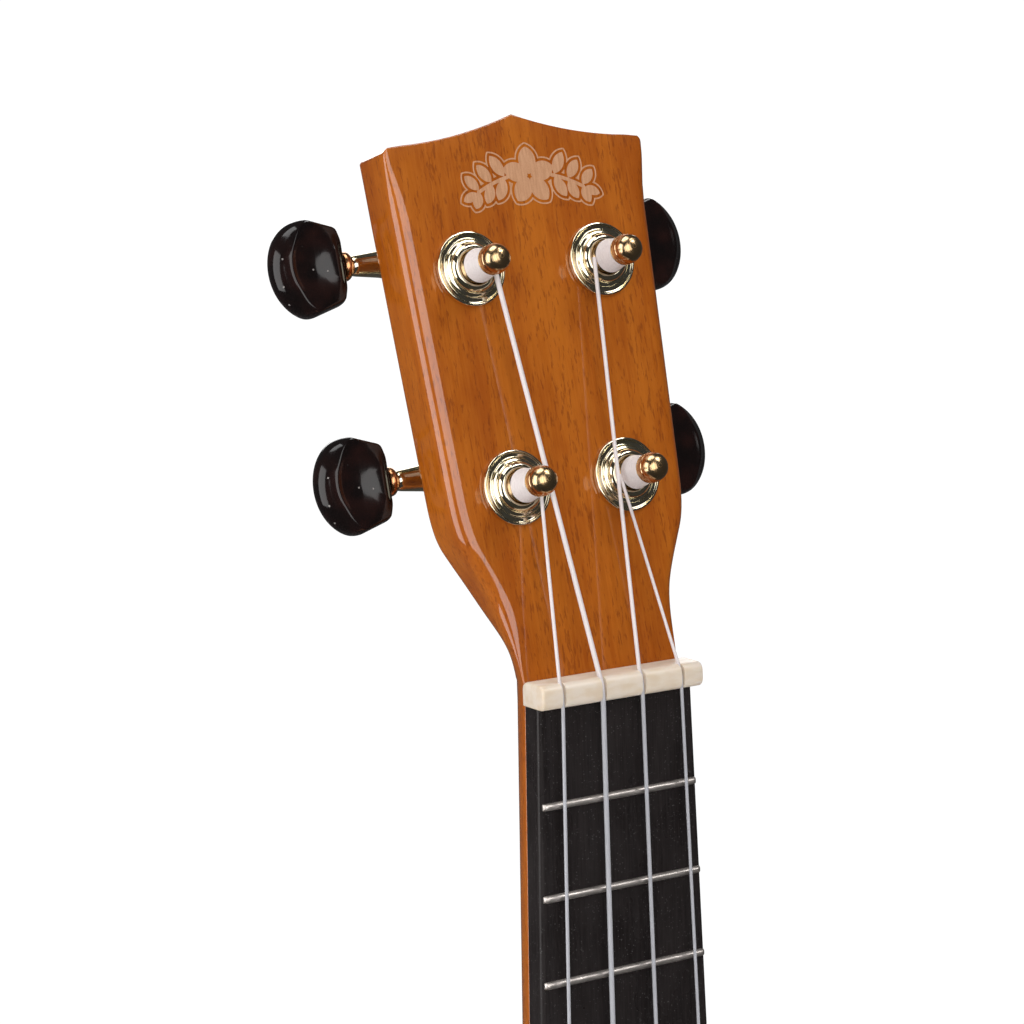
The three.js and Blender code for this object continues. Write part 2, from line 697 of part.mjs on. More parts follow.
// The flanged bushing that lines the post's hole.
function bushing() {
  const bore = POST_RADIUS + POST_CLEARANCE;
  return turned([
    [bore, 8], [bore, -2.3], [3.7, -2.85], [4.3, -2.8], [4.75, -2], [5.4, -1.85], [5.85, -0.95],
    [BUSHING_FLANGE - 0.4, -1.15], [BUSHING_FLANGE, -0.85], [BUSHING_FLANGE, -GAP],
    [BUSHING_BARREL, -GAP], [BUSHING_BARREL, 8], [bore, 8],
  ]);
}

// The helical gear on the post's lower end.
function gear() {
  const outline = [];
  const pitch = (2 * Math.PI) / GEAR_TEETH;
  const tooth = [[-0.52, 3.3], [-0.16, 4.2], [0.16, 4.2], [0.52, 3.3]];
  for (let k = 0; k < GEAR_TEETH; k += 1) {
    for (const [across, radius] of tooth) {
      const angle = k * pitch + across / radius;
      outline.push([radius * Math.sin(angle), radius * Math.cos(angle)]);
    }
  }
  const geometry = plate(polygon(outline), -GEAR_FACE / 2, GEAR_FACE);
  const slope = LEAD / (2 * Math.PI * (WORM_AXIS.z - GEAR_PITCH)) / GEAR_PITCH;
  return twisted(geometry, 'y', slope).translate(0, WORM_AXIS.y, 0);
}

// Turns each point about an axis by an angle that grows along it.
function twisted(geometry, axisName, slope) {
  const axis = { x: X, y: Y }[axisName];
  const place = geometry.attributes.position;
  const point = new THREE.Vector3();
  for (let i = 0; i < place.count; i += 1) {
    point.fromBufferAttribute(place, i);
    point.applyAxisAngle(axis, point[axisName] * slope);
    place.setXYZ(i, point.x, point.y, point.z);
  }
  return geometry;
}

function stringPost() {
  const base = WORM_AXIS.y + GEAR_FACE / 2 + 0.9;
  const post = turned([
    [0, base], [1.6, base], [1.6, base - 0.8], [POST_RADIUS, base - 0.8], [POST_RADIUS, -2.2],
    [2.5, -2.6], [2.35, -5.4], [2.55, -8.2], [2.65, -9], [3.1, -9.4], [POST_RADIUS, -10.4],
    [2.7, -12.2], [1.6, -13], [0, POST_TIP],
  ]);
  return join(post, gear());
}

// The worm: an off-centre round bar twisted along the shaft.
function worm() {
  const length = LEAD * THREAD_TURNS;
  const section = new THREE.Shape();
  section.absarc(0, THREAD_HEIGHT, WORM_RADIUS, 0, 2 * Math.PI);
  const steps = THREAD_TURNS * 8;
  const geometry = new THREE.ExtrudeGeometry(section, {
    depth: length,
    steps,
    bevelEnabled: false,
    curveSegments: 5,
  });
  geometry.translate(0, 0, -length / 2);
  geometry.applyMatrix4(new THREE.Matrix4().makeBasis(Y, Z, X));
  return twisted(geometry, 'x', (2 * Math.PI) / LEAD);
}

// A turned piece along X, leaving towards one side.
function turnedAlong(profile, side) {
  const geometry = turned(profile, 14).rotateZ(-Math.PI / 2);
  return side > 0 ? geometry : geometry.rotateY(Math.PI);
}

const onWormAxis = (geometry) => geometry.translate(0, WORM_AXIS.y, WORM_AXIS.z);

function wormShaft(side) {
  const shaft = turnedAlong([
    [0, -5], [SHAFT_RADIUS, -5], [SHAFT_RADIUS, SNOUT_END + 0.2], [2.6, SNOUT_END + 0.3],
    [COLLAR_RADIUS, SNOUT_END + 0.9], [COLLAR_RADIUS, SNOUT_END + 1.7], [2.5, BUTTON_START - GAP],
    [SHAFT_RADIUS, BUTTON_START - GAP], [SHAFT_RADIUS, BUTTON_START + BUTTON_BORE],
    [0, BUTTON_START + BUTTON_BORE],
  ], side);
  return onWormAxis(join(shaft, worm()));
}

// The gear housing: a cup over the gear and worm, with a tapered snout round the shaft.
function housing(side) {
  const { half, low, high, front, back, wall } = HOUSING;
  const cup = plate(roundedRectangle(-half, half, low, high, 2.6), front, back - front, 3);
  const snout = onWormAxis(turnedAlong([
    [0, half - 1], [3, half - 1], [2.8, half + 2], [2.05, SNOUT_END - 0.6], [1.8, SNOUT_END], [0, SNOUT_END],
  ], side));
  const hollow = block([-half + wall, front - 1, low + wall], [half - wall, back - wall, high - wall]);
  const bore = onWormAxis(turnedAlong([
    [0, 0], [SHAFT_BORE, 0], [SHAFT_BORE, SNOUT_END + 1], [0, SNOUT_END + 1],
  ], side));
  return geometryOf(solid(cup).add(solid(snout)).subtract(solid(hollow)).subtract(solid(bore)));
}

// The plate that closes the housing against the head, with an ear at each end for its screws.
function basePlate() {
  const { half, low, high, front } = HOUSING;
  const outline = roundedRectangle(-half, half, low - EAR_LENGTH, high + EAR_LENGTH, 4);
  const holes = [
    [0, POST_RADIUS + 0.35], [low - EAR_LENGTH / 2, SCREW_HOLE], [high + EAR_LENGTH / 2, SCREW_HOLE],
  ];
  for (const [z, radius] of holes) {
    const hole = new THREE.Path();
    hole.absarc(0, z, radius, 0, 2 * Math.PI);
    outline.holes.push(hole);
  }
  return plate(outline, HEAD_THICK + GAP, front - HEAD_THICK - 2 * GAP, 4);
}

// The button: a tulip outline, straight to its widest line and round beyond it.
function button(side) {
  const roundEnd = BUTTON_LENGTH - BUTTON_WIDEST;
  const chamfer = BUTTON_CHAMFER;
  const shape = new THREE.Shape();
  shape.moveTo(0, -5);
  shape.lineTo(0.9, -7.8);
  shape.lineTo(BUTTON_WIDEST, -BUTTON_TALL);
  shape.absellipse(BUTTON_WIDEST, 0, roundEnd, BUTTON_TALL, -Math.PI / 2, Math.PI / 2);
  shape.lineTo(0.9, 7.8);
  shape.lineTo(0, 5);
  const body = new THREE.ExtrudeGeometry(shape, {
    depth: BUTTON_THICK - 2 * chamfer,
    bevelThickness: chamfer,
    bevelSize: chamfer,
    bevelOffset: -chamfer,
    bevelSegments: 1,
    curveSegments: 9,
  });
  body.applyMatrix4(new THREE.Matrix4().makeBasis(X, Z, Y.clone().negate()));
  body.translate(BUTTON_START, BUTTON_THICK / 2 - chamfer, 0);
  if (side < 0) body.rotateY(Math.PI);
  const bore = SHAFT_RADIUS + GAP;
  const bottom = BUTTON_START + BUTTON_BORE + GAP;
  const hole = turnedAlong([
    [0, BUTTON_START - 1], [bore, BUTTON_START - 1], [bore, bottom], [0, bottom],
  ], side);
  return onWormAxis(cut(body, hole));
}

const head = headFrame();
for (const string of STRINGS) {
  const side = Math.sign(string.postU);
  const tuner = new THREE.Group();
  tuner.position.set(string.postU, 0, string.postV);
  head.add(tuner);
  const name = (piece) => `tuner_${string.name}_${piece}`;
  add(name('bushing'), bushing(), goldPlate, tuner);
  add(name('string_post'), stringPost(), brass, tuner);
  add(name('worm_shaft'), wormShaft(side), brass, tuner);
  add(name('housing'), housing(side), goldPlate, tuner);
  add(name('base_plate'), basePlate(), goldPlate, tuner);
  add(name('button'), button(side), blackPlastic, tuner);
}

export default model;
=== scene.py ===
"""The finished look of a soprano ukulele with geared tuners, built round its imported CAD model.

Lengths in this file are millimetres until a mesh is made, and positions are in the model's own frame:
+Z towards the head, the front faces -Y, and the treble side is +X.
"""
import json
import math

import bmesh
import bpy
import numpy as np
from bpy.props import FloatProperty, FloatVectorProperty, IntProperty, PointerProperty
from mathutils import Matrix, Vector


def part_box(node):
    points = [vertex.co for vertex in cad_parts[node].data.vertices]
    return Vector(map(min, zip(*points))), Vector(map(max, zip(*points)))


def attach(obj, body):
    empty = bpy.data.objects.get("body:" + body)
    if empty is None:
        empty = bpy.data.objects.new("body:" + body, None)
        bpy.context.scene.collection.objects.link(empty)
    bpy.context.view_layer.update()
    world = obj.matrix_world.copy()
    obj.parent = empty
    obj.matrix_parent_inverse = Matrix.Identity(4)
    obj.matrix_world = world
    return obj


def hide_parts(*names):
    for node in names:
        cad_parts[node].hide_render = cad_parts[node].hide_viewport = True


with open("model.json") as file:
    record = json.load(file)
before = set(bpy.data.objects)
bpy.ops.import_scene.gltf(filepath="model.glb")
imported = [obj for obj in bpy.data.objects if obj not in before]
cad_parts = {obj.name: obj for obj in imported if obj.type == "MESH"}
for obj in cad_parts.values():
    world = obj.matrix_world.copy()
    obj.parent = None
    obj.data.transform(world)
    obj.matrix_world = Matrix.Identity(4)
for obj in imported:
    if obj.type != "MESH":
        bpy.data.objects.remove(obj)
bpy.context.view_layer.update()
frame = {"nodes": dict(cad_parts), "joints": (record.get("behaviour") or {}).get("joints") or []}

bl_info = {
    "name": "Soprano ukulele",
    "version": (1, 0, 0),
    "blender": (4, 5, 0),
    "location": "3D View > Sidebar > Ukulele",
    "description": "Builds a soprano ukulele piece by piece, with its finishes and a plain stage",
    "category": "Object",
}

MM = 0.001

# ---------------------------------------------------------------- places that the frame gives


def low(node):
    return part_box(node)[0] / MM


def high(node):
    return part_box(node)[1] / MM


def middle(node):
    return (low(node) + high(node)) / 2


JOINTS = {joint["name"]: joint for joint in frame["joints"]}
STRINGS = ("g", "c", "e", "a")
FRET_COUNT = 12
FRETS = [f"fret_{k:02d}" for k in range(1, FRET_COUNT + 1)]

SCALE_LENGTH = -2 * middle("fret_12").z
BOARD_THICK = high("fretboard").y
BOARD_TAPER = 0.026
FRET_INSET = 0.5
BOARD_HALF = -low("fret_01").x + FRET_INSET + BOARD_TAPER * middle("fret_01").z
NECK_TOP = low("neck").y
NUT_THICK = high("nut").z
JOINT_Z = high("back_plate").z
TAIL_Z = low("back_plate").z
BODY_FRONT = low("soundboard").y
BODY_BACK = high("back_plate").y
PLATE_THICK = high("soundboard").y - BODY_FRONT
SADDLE_Z = middle("saddle").z
BRIDGE_TOP = low("bridge").y

HEAD_OUT = Vector(JOINTS["tuner_g_post_turn"]["axis"])
TILT = math.asin(HEAD_OUT.z)
HEAD_THICK = 11.9
HEAD_LENGTH = 106.0
HEAD_HALF = 30.0
HEAD_PEAK = 5.3
NECK_DEPTH = 13.1
HEEL_DEPTH = 66.0
HEEL_LENGTH = 14.0
HEEL_SWEEP = 32.0
HOLE_DROP = 83.0
HOLE_RADIUS = 24.0
HOLE_Z = JOINT_Z - HOLE_DROP


def head_matrix():
    """The head's own frame: X across, Y into the wood, Z up the head's face from the nut."""
    post = Vector(JOINTS["tuner_g_post_turn"]["pos_m"]) / MM
    up = (post.z - NUT_THICK) / math.cos(TILT)
    step = post.y - up * math.sin(TILT)
    return Matrix.Translation((0, step, NUT_THICK)) @ Matrix.Rotation(-TILT, 4, "X")


HEAD = head_matrix()


def tuner_matrix(name):
    """A tuner's own frame: its post stands on the origin, Y down the post, Z up the head."""
    post = Vector(JOINTS[f"tuner_{name}_post_turn"]["pos_m"]) / MM
    return Matrix.Translation(post) @ HEAD.to_3x3().to_4x4()


def tuner_side(name):
    return math.copysign(1, JOINTS[f"tuner_{name}_post_turn"]["pos_m"][0])


def fret_z(k):
    return -(SCALE_LENGTH - SCALE_LENGTH / 2 ** (k / 12))


def board_half(z):
    return BOARD_HALF + BOARD_TAPER * -z


WORM_Y = 20.0
WORM_Z = 5.8
NUT_SPREAD = 13.8
SADDLE_SPREAD = 21.2
STRING_AT_NUT = -2.3
STRING_AT_SADDLE = -5.0
GAUGE = {"g": 0.71, "c": 1.02, "e": 0.81, "a": 0.66}
EXIT_HEIGHT = {"g": 3.9, "c": 3.8, "e": 3.2, "a": 3.4}
SCREW_STATIONS = (-9.0, 12.5)
POST_HOLE = 4.55
GEAR_TEETH = 14
PITCH_RADIUS = 3.85
WORM_LEAD = 2 * math.pi * PITCH_RADIUS / GEAR_TEETH
PLATE_FRONT = 11.95
PLATE_BACK = 12.95
MERGE_DISTANCE = 1e-4


def string_x(i, spread):
    """How far across a string lies where the outer two are a spread to each side."""
    return spread * (-1 + 2 * i / 3)


def smooth(edge0, edge1, value):
    share = min(max((value - edge0) / (edge1 - edge0), 0.0), 1.0)
    return share * share * (3 - 2 * share)


def blend(a, b, share):
    return a + (b - a) * share


# ---------------------------------------------------------------- mesh helpers


def solid(points, faces):
    """A shape from points and faces, with doubles merged and every face turned outwards."""
    shape = bmesh.new()
    corners = [shape.verts.new(point) for point in points]
    for face in faces:
        shape.faces.new([corners[i] for i in face])
    bmesh.ops.remove_doubles(shape, verts=shape.verts, dist=MERGE_DISTANCE)
    bmesh.ops.recalc_face_normals(shape, faces=shape.faces)
    return shape


def loft(rings, joined=False, caps=True):
    """Skins equal rings of points. The ends are capped, or joined to each other."""
    count = len(rings[0])
    points = [point for ring in rings for point in ring]
    faces = []
    for r in range(len(rings) - (0 if joined else 1)):
        here, there = r * count, (r + 1) % len(rings) * count
        for i in range(count):
            j = (i + 1) % count
            faces.append((here + i, here + j, there + j, there + i))
    if caps and not joined:
        for ring, start in ((rings[0], 0), (rings[-1], (len(rings) - 1) * count)):
            spread = max((Vector(a) - Vector(ring[0])).length for a in ring)
            if spread > 1e-3:
                faces.append(tuple(range(start, start + count)))
    return solid(points, faces)


def turned(profile, sides=64, joined=False):
    """A turned piece about Y, from (radius, y) pairs."""
    angles = [2 * math.pi * i / sides for i in range(sides)]
    rings = [[(r * math.sin(a), y, r * math.cos(a)) for a in angles] for r, y in profile]
    return loft(rings, joined)


def turned_along(profile, side, sides=48, joined=False):
    """A turned piece about the worm's axis, from (radius, distance outwards) pairs."""
    angles = [2 * math.pi * i / sides for i in range(sides)]
    rings = [
        [(side * x, WORM_Y + r * math.sin(a), WORM_Z + r * math.cos(a)) for a in angles]
        for r, x in profile
    ]
    return loft(rings, joined)


def rod(radius, start, end):
    """The profile of a plain rod, for turning."""
    return [(0, start), (radius, start), (radius, end), (0, end)]


def fillet(profile, radius, steps=5):
    """Rounds the inner corners of an open line of (a, b) pairs."""
    line = [Vector(p) for p in profile]
    rounded = [tuple(line[0])]
    for before, corner, after in zip(line, line[1:], line[2:]):
        back, on = before - corner, after - corner
        reach = min(radius, back.length * 0.45, on.length * 0.45)
        start = corner + back.normalized() * reach
        end = corner + on.normalized() * reach
        for i in range(steps + 1):
            share = i / steps
            first = start.lerp(corner, share)
            rounded.append(tuple(first.lerp(corner.lerp(end, share), share)))
    rounded.append(tuple(line[-1]))
    return rounded


def inset(outline, distance):
    """A closed outline moved inwards by an even distance."""
    line = np.array(outline, float)
    after = np.roll(line, -1, 0) - line
    before = line - np.roll(line, 1, 0)
    after /= np.linalg.norm(after, axis=1)[:, None]
    before /= np.linalg.norm(before, axis=1)[:, None]
    area = np.sum(line[:, 0] * np.roll(line[:, 1], -1) - np.roll(line[:, 0], -1) * line[:, 1])
    turn = 1.0 if area > 0 else -1.0
    mean = after + before
    mean /= np.linalg.norm(mean, axis=1)[:, None]
    cosine = np.maximum(np.sum(mean * after, axis=1), 0.5)
    normal = np.stack([-mean[:, 1], mean[:, 0]], 1) * turn
    return line + normal * (distance / cosine)[:, None]


def quarter_turn(steps):
    return [math.pi / 2 * i / steps for i in range(steps + 1)]


def rounded_front(front, radius, steps=5):
    """(inset, depth) pairs of a plate's rounded front edge."""
    return [
        (radius * (1 - math.sin(a)), front + radius * (1 - math.cos(a))) for a in quarter_turn(steps)
    ]


def rounded_back(back, radius, steps=5):
    """(inset, depth) pairs of a plate's rounded back edge."""
    return [
        (radius * (1 - math.cos(a)), back - radius * (1 - math.sin(a))) for a in quarter_turn(steps)
    ]


def rounded_edges(front, back, radius, steps=5):
    """(inset, depth) pairs of a plate from front to back with both its edges rounded."""
    return rounded_front(front, radius, steps) + rounded_back(back, radius, steps)


FACING_FRONT = Matrix(((1, 0, 0, 0), (0, 0, 1, 0), (0, 1, 0, 0), (0, 0, 0, 1)))
ALONG_X = Matrix(((0, 0, 1, 0), (1, 0, 0, 0), (0, 1, 0, 0), (0, 0, 0, 1)))
ALONG_Z = Matrix.Identity(4)


def slab(outline, profile, axes=FACING_FRONT):
    """Skins copies of an outline, each moved inwards and to its own depth along the third axis."""
    rings = []
    for inward, depth in profile:
        line = inset(outline, inward) if abs(inward) > 1e-9 else np.array(outline, float)
        rings.append([axes @ Vector((a, b, depth)) for a, b in line])
    return loft(rings)


def block(lowest, highest):
    """A plain box, for cutting with."""
    x0, y0, z0 = lowest
    x1, y1, z1 = highest
    ring = [(x0, y0), (x1, y0), (x1, y1), (x0, y1)]
    return loft([[(x, y, z0) for x, y in ring], [(x, y, z1) for x, y in ring]])


def rounded_box_outline(a0, a1, b0, b1, radius, steps=8):
    outline = []
    corners = ((a1, b0, -90), (a1, b1, 0), (a0, b1, 90), (a0, b0, 180))
    for a, b, start in corners:
        centre_a = a - math.copysign(radius, a - (a0 + a1) / 2)
        centre_b = b - math.copysign(radius, b - (b0 + b1) / 2)
        for i in range(steps + 1):
            angle = math.radians(start + 90 * i / steps)
            outline.append((centre_a + radius * math.cos(angle), centre_b + radius * math.sin(angle)))
    return outline


def bezier(p0, p1, p2, p3, steps):
    """Points along a cubic curve, without its first point."""
    p0, p1, p2, p3 = (np.array(p, float) for p in (p0, p1, p2, p3))
    shares = [i / steps for i in range(1, steps + 1)]
    return [
        tuple((1 - s) ** 3 * p0 + 3 * s * (1 - s) ** 2 * p1 + 3 * s * s * (1 - s) * p2 + s ** 3 * p3)
        for s in shares
    ]


def together(*shapes):
    """Several shapes as one, left as separate shells."""
    whole = bmesh.new()
    for shape in shapes:
        mesh = bpy.data.meshes.new("shell")
        shape.to_mesh(mesh)
        whole.from_mesh(mesh)
        bpy.data.meshes.remove(mesh)
        shape.free()
    return whole


def holder(name, shape=None):
    """A working object for modifiers, in millimetres."""
    mesh = bpy.data.meshes.new(name)
    if shape is not None:
        shape.to_mesh(mesh)
        shape.free()
    thing = bpy.data.objects.new(name, mesh)
    bpy.context.scene.collection.objects.link(thing)
    return thing


def discard(thing):
    mesh = thing.data
    bpy.data.objects.remove(thing)
    bpy.data.meshes.remove(mesh)


def evaluated(thing):
    """The mesh that an object's modifiers make."""
    graph = bpy.context.evaluated_depsgraph_get()
    return bpy.data.meshes.new_from_object(thing.evaluated_get(graph), depsgraph=graph)


def carved(blank, operation, *tools):
    """Cuts each tool from the blank, or joins it on."""
    work = holder("blank", blank)
    cutters = [holder("tool", tool) for tool in tools]
    for cutter in cutters:
        step = work.modifiers.new("carve", "BOOLEAN")
        step.operation = operation
        step.solver = "EXACT"
        step.object = cutter
    mesh = evaluated(work)
    work.modifiers.clear()
    for thing in (work, *cutters):
        discard(thing)
    shape = bmesh.new()
    shape.from_mesh(mesh)
    bpy.data.meshes.remove(mesh)
    bmesh.ops.remove_doubles(shape, verts=shape.verts, dist=MERGE_DISTANCE)
    return shape


def points_of(mesh):
    points = np.zeros(len(mesh.vertices) * 3)
    mesh.vertices.foreach_get("co", points)
    return points.reshape(-1, 3)


def finished(name, shape, finish, body="body", nodes=(), place=None, pattern=None, sharp=35):
    """Makes a shape a piece: in metres, at its place, with its finish, riding on a body.

    The pattern attribute holds the point, in millimetres, that the finish reads its grain from.
    """
    if isinstance(shape, bpy.types.Mesh):
        mesh = shape
        mesh.name = name
    else:
        mesh = bpy.data.meshes.new(name)
        shape.to_mesh(mesh)
        shape.free()
    local = points_of(mesh)
    read = local if pattern is None else pattern(local)
    attribute = mesh.attributes.new("pattern", "FLOAT_VECTOR", "POINT")
    attribute.data.foreach_set("vector", np.asarray(read, np.float32).ravel())
    mesh.transform(Matrix.Scale(MM, 4) @ (place or Matrix.Identity(4)))
    mesh.shade_smooth()
    mesh.set_sharp_from_angle(angle=math.radians(sharp))
    mesh.materials.clear()
    mesh.materials.append(finish)
    piece = bpy.data.objects.new(name, mesh)
    bpy.context.scene.collection.objects.link(piece)
    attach(piece, body)
    if nodes:
        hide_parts(*nodes)
    return piece


# ---------------------------------------------------------------- node trees


class Value:
    """A socket in a node tree that can be used in arithmetic."""

    def __init__(self, tree, socket):
        self.tree = tree
        self.socket = socket

    def math(self, operation, *operands):
        return self.tree.node("ShaderNodeMath", {"operation": operation}, dict(enumerate(operands)))

    def __add__(self, other):
        return self.math("ADD", self, other)

    def __sub__(self, other):
        return self.math("SUBTRACT", self, other)

    def __rsub__(self, other):
        return self.math("SUBTRACT", other, self)

    def __mul__(self, other):
        return self.math("MULTIPLY", self, other)

    def __truediv__(self, other):
        return self.math("DIVIDE", self, other)

    def __rtruediv__(self, other):
        return self.math("DIVIDE", other, self)

    def __pow__(self, other):
        return self.math("POWER", self, other)

    def __rpow__(self, other):
        return self.math("POWER", other, self)

    __radd__ = __add__
    __rmul__ = __mul__


class Tree:
    """A node tree that is written as calls."""

    def __init__(self, tree):
        self.tree = tree

    def connect(self, socket, value):
        if isinstance(value, Value):
            self.tree.links.new(value.socket, socket)
        elif isinstance(value, (tuple, list)) and socket.type == "RGBA" and len(value) == 3:
            socket.default_value = (*value, 1.0)
        else:
            socket.default_value = value

    def node(self, kind, settings=None, inputs=None, output=0):
        """Adds a node: its settings first, then the values or links of its sockets."""
        node = self.tree.nodes.new(kind)
        for key, value in (settings or {}).items():
            setattr(node, key, value)
        for key, value in (inputs or {}).items():
            self.connect(node.inputs[key], value)
        return Value(self, node.outputs[output]) if len(node.outputs) else node


class Finish(Tree):
    """A material: one Principled shader, and helpers for what feeds it."""

    def __init__(self, name):
        self.material = bpy.data.materials.new(name)
        self.material.use_nodes = True
        super().__init__(self.material.node_tree)
        self.tree.nodes.clear()
        self.shader = self.tree.nodes.new("ShaderNodeBsdfPrincipled")
        out = self.tree.nodes.new("ShaderNodeOutputMaterial")
        self.tree.links.new(self.shader.outputs[0], out.inputs[0])

    def set(self, **inputs):
        for key, value in inputs.items():
            self.connect(self.shader.inputs[key.replace("_", " ")], value)
        return self.material

    def pattern(self):
        """The point on the piece, in millimetres along the piece's own grain."""
        return self.node("ShaderNodeAttribute", {"attribute_name": "pattern"}, output="Vector")

    def place(self):
        """The point in the model's frame, in millimetres."""
        point = self.node("ShaderNodeTexCoord", output="Object")
        return self.scaled(point, (1 / MM,) * 3)

    def scaled(self, vector, factors):
        return self.node("ShaderNodeVectorMath", {"operation": "MULTIPLY"}, {0: vector, 1: factors})

    def part(self, vector, axis):
        return self.node("ShaderNodeSeparateXYZ", inputs={0: vector}, output=axis)

    def noise(self, vector, detail, roughness=0.5, distortion=0.0):
        return self.node(
            "ShaderNodeTexNoise",
            inputs={
                "Vector": vector,
                "Scale": 1.0,
                "Detail": detail,
                "Roughness": roughness,
                "Distortion": distortion,
            },
        )

    def grain(self, point, stretch, **settings):
        """Noise at a point, stretched along the grain."""
        return self.noise(self.scaled(point, stretch), **settings)

    def cells(self, vector, scale):
        """The distance to the nearest of scattered spots."""
        return self.node(
            "ShaderNodeTexVoronoi", inputs={"Vector": vector, "Scale": scale}, output="Distance"
        )

    def ramp(self, value, start, end, first=0.0, last=1.0):
        """Goes smoothly from first to last while the value goes from start to end."""
        return self.node(
            "ShaderNodeMapRange",
            {"interpolation_type": "SMOOTHSTEP"},
            {"Value": value, "From Min": start, "From Max": end, "To Min": first, "To Max": last},
        )

    def polish(self, value, smoothest, roughest):
        """A roughness that follows a noise."""
        return self.ramp(value, 0.3, 0.7, smoothest, roughest)

    def mix(self, share, first, second):
        """Mixes two colours."""
        return self.node(
            "ShaderNodeMix",
            {"data_type": "RGBA"},
            {0: share, 6: first, 7: second},
            output=2,
        )

    def bump(self, height, distance, strength=1.0):
        """A normal from a height between 0 and 1, with the distance in millimetres."""
        return self.node(
            "ShaderNodeBump",
            inputs={"Height": height, "Distance": distance * MM, "Strength": strength},
        )


class Pattern(Tree):
    """A Geometry Nodes tree with named inputs."""

    def __init__(self, name, inputs):
        super().__init__(bpy.data.node_groups.new(name, "GeometryNodeTree"))
        face = self.tree.interface
        face.new_socket("Geometry", in_out="INPUT", socket_type="NodeSocketGeometry")
        for label, kind, value in inputs:
            socket = face.new_socket(label, in_out="INPUT", socket_type=f"NodeSocket{kind}")
            if value is not None:
                socket.default_value = value
        face.new_socket("Geometry", in_out="OUTPUT", socket_type="NodeSocketGeometry")
        self.start = self.tree.nodes.new("NodeGroupInput")
        self.end = self.tree.nodes.new("NodeGroupOutput")

    def given(self, label):
        return Value(self, self.start.outputs[label])

    def finish(self, geometry):
        """Ends the tree in Realize Instances and Set Material."""
        real = self.node("GeometryNodeRealizeInstances", inputs={0: geometry})
        dressed = self.node(
            "GeometryNodeSetMaterial", inputs={"Geometry": real, "Material": self.given("Finish")}
        )
        self.connect(self.end.inputs[0], dressed)
        return self

    def grow(self, shape=None, **values):
        """Runs the tree on a shape and gives the plain mesh."""
        work = holder(self.tree.name, shape)
        step = work.modifiers.new("pattern", "NODES")
        step.node_group = self.tree
        for item in self.tree.interface.items_tree:
            key = item.name.lower().replace(" ", "_")
            if item.in_out == "INPUT" and key in values:
                step[item.identifier] = values[key]
        mesh = evaluated(work)
        work.modifiers.clear()
        discard(work)
        return mesh


def marks(points):
    """Loose points for a pattern to stand its copies on."""
    shape = bmesh.new()
    for point in points:
        shape.verts.new(point)
    return shape


def route(points, closed=False):
    """A line of edges for a pattern to follow."""
    shape = bmesh.new()
    corners = [shape.verts.new(point) for point in points]
    for a, b in zip(corners, corners[1:]):
        shape.edges.new((a, b))
    if closed:
        shape.edges.new((corners[-1], corners[0]))
    return shape


# ---------------------------------------------------------------- sizes and colours to change


def length(name, description, default):
    return FloatProperty(
        name=name, description=description, default=default * MM, unit="LENGTH", precision=5
    )


def colour(name, description, default):
    return FloatVectorProperty(
        name=name, description=description, default=default, subtype="COLOR", size=3, min=0, max=1
    )


class UkuleleSizes(bpy.types.PropertyGroup):
    """Sizes that the frame leaves open."""

    head_edge: length("Head edge", "Rounding of the head's front edges", 3.0)
    board_edge: length("Board edge", "Rounding of the fretboard's long edges", 1.1)
    body_edge: length("Body edge", "Rounding of the body's edges", 0.9)
    fret_width: length("Fret width", "Width of a fret's crown", 1.45)
    fret_height: length("Fret height", "Height of a fret's crown", 1.05)
    dot_width: length("Dot width", "Diameter of a position dot", 5.0)
    winding_base: length("Winding base", "Radius of the string turns near the head", 3.45)
    winding_top: length("Winding top", "Radius of the string turns near the post's tip", 2.75)
    winding_turns: FloatProperty(
        name="Winding turns", description="Turns of string on each post", default=7.0, min=1
    )
    etch_height: length("Etching height", "How far the head's ornament stands proud", 0.04)
    inlay_count: IntProperty(
        name="Ring inlays", description="Diamonds in the ring round the sound hole", default=48, min=3
    )


class UkuleleFinishes(bpy.types.PropertyGroup):
    """Colours of the finishes."""

    wood_light: colour("Wood, light", "Light bands of the lacquered wood", (0.49, 0.135, 0.009))
    wood_dark: colour("Wood, dark", "Dark bands of the lacquered wood", (0.34, 0.074, 0.003))
    wood_pore: colour("Wood pores", "Pores of the lacquered wood", (0.15, 0.026, 0.002))
    raw_wood: colour("Bare wood", "Blocks, linings and braces", (0.60, 0.40, 0.22))
    board: colour("Fretboard", "Fretboard and bridge", (0.012, 0.0095, 0.0095))
    cream: colour("Nut and saddle", "Nut and saddle", (0.79, 0.69, 0.58))
    nylon: colour("Strings", "Nylon strings", (0.47, 0.475, 0.51))
    fret_wire: colour("Fret wire", "Frets", (0.88, 0.81, 0.76))
    gold: colour("Gold plate", "Bushings and housings", (0.86, 0.79, 0.60))
    brass: colour("Turned brass", "String posts and shafts", (0.66, 0.47, 0.27))
    shaft: colour("Shaft brass", "Worm shafts and their collars", (0.74, 0.37, 0.18))
    button: colour("Buttons", "Tuner buttons", (0.006, 0.004, 0.004))
    pearl: colour("Pearl", "Position dots", (0.80, 0.79, 0.76))
    etching: colour("Etching", "The head's ornament", (0.60, 0.32, 0.175))


def sizes():
    return bpy.context.scene.ukulele_sizes


def finishes():
    return bpy.context.scene.ukulele_finishes


# ---------------------------------------------------------------- finishes


def tinted(base, *factors):
    """A colour with each of its channels multiplied."""
    return tuple(channel * factor for channel, factor in zip(base, factors))


def made_once(make):
    """Keeps one material for each finish."""

    def get():
        name = f"{make.__name__}_finish"
        return bpy.data.materials.get(name) or make(Finish(name), finishes())

    return get


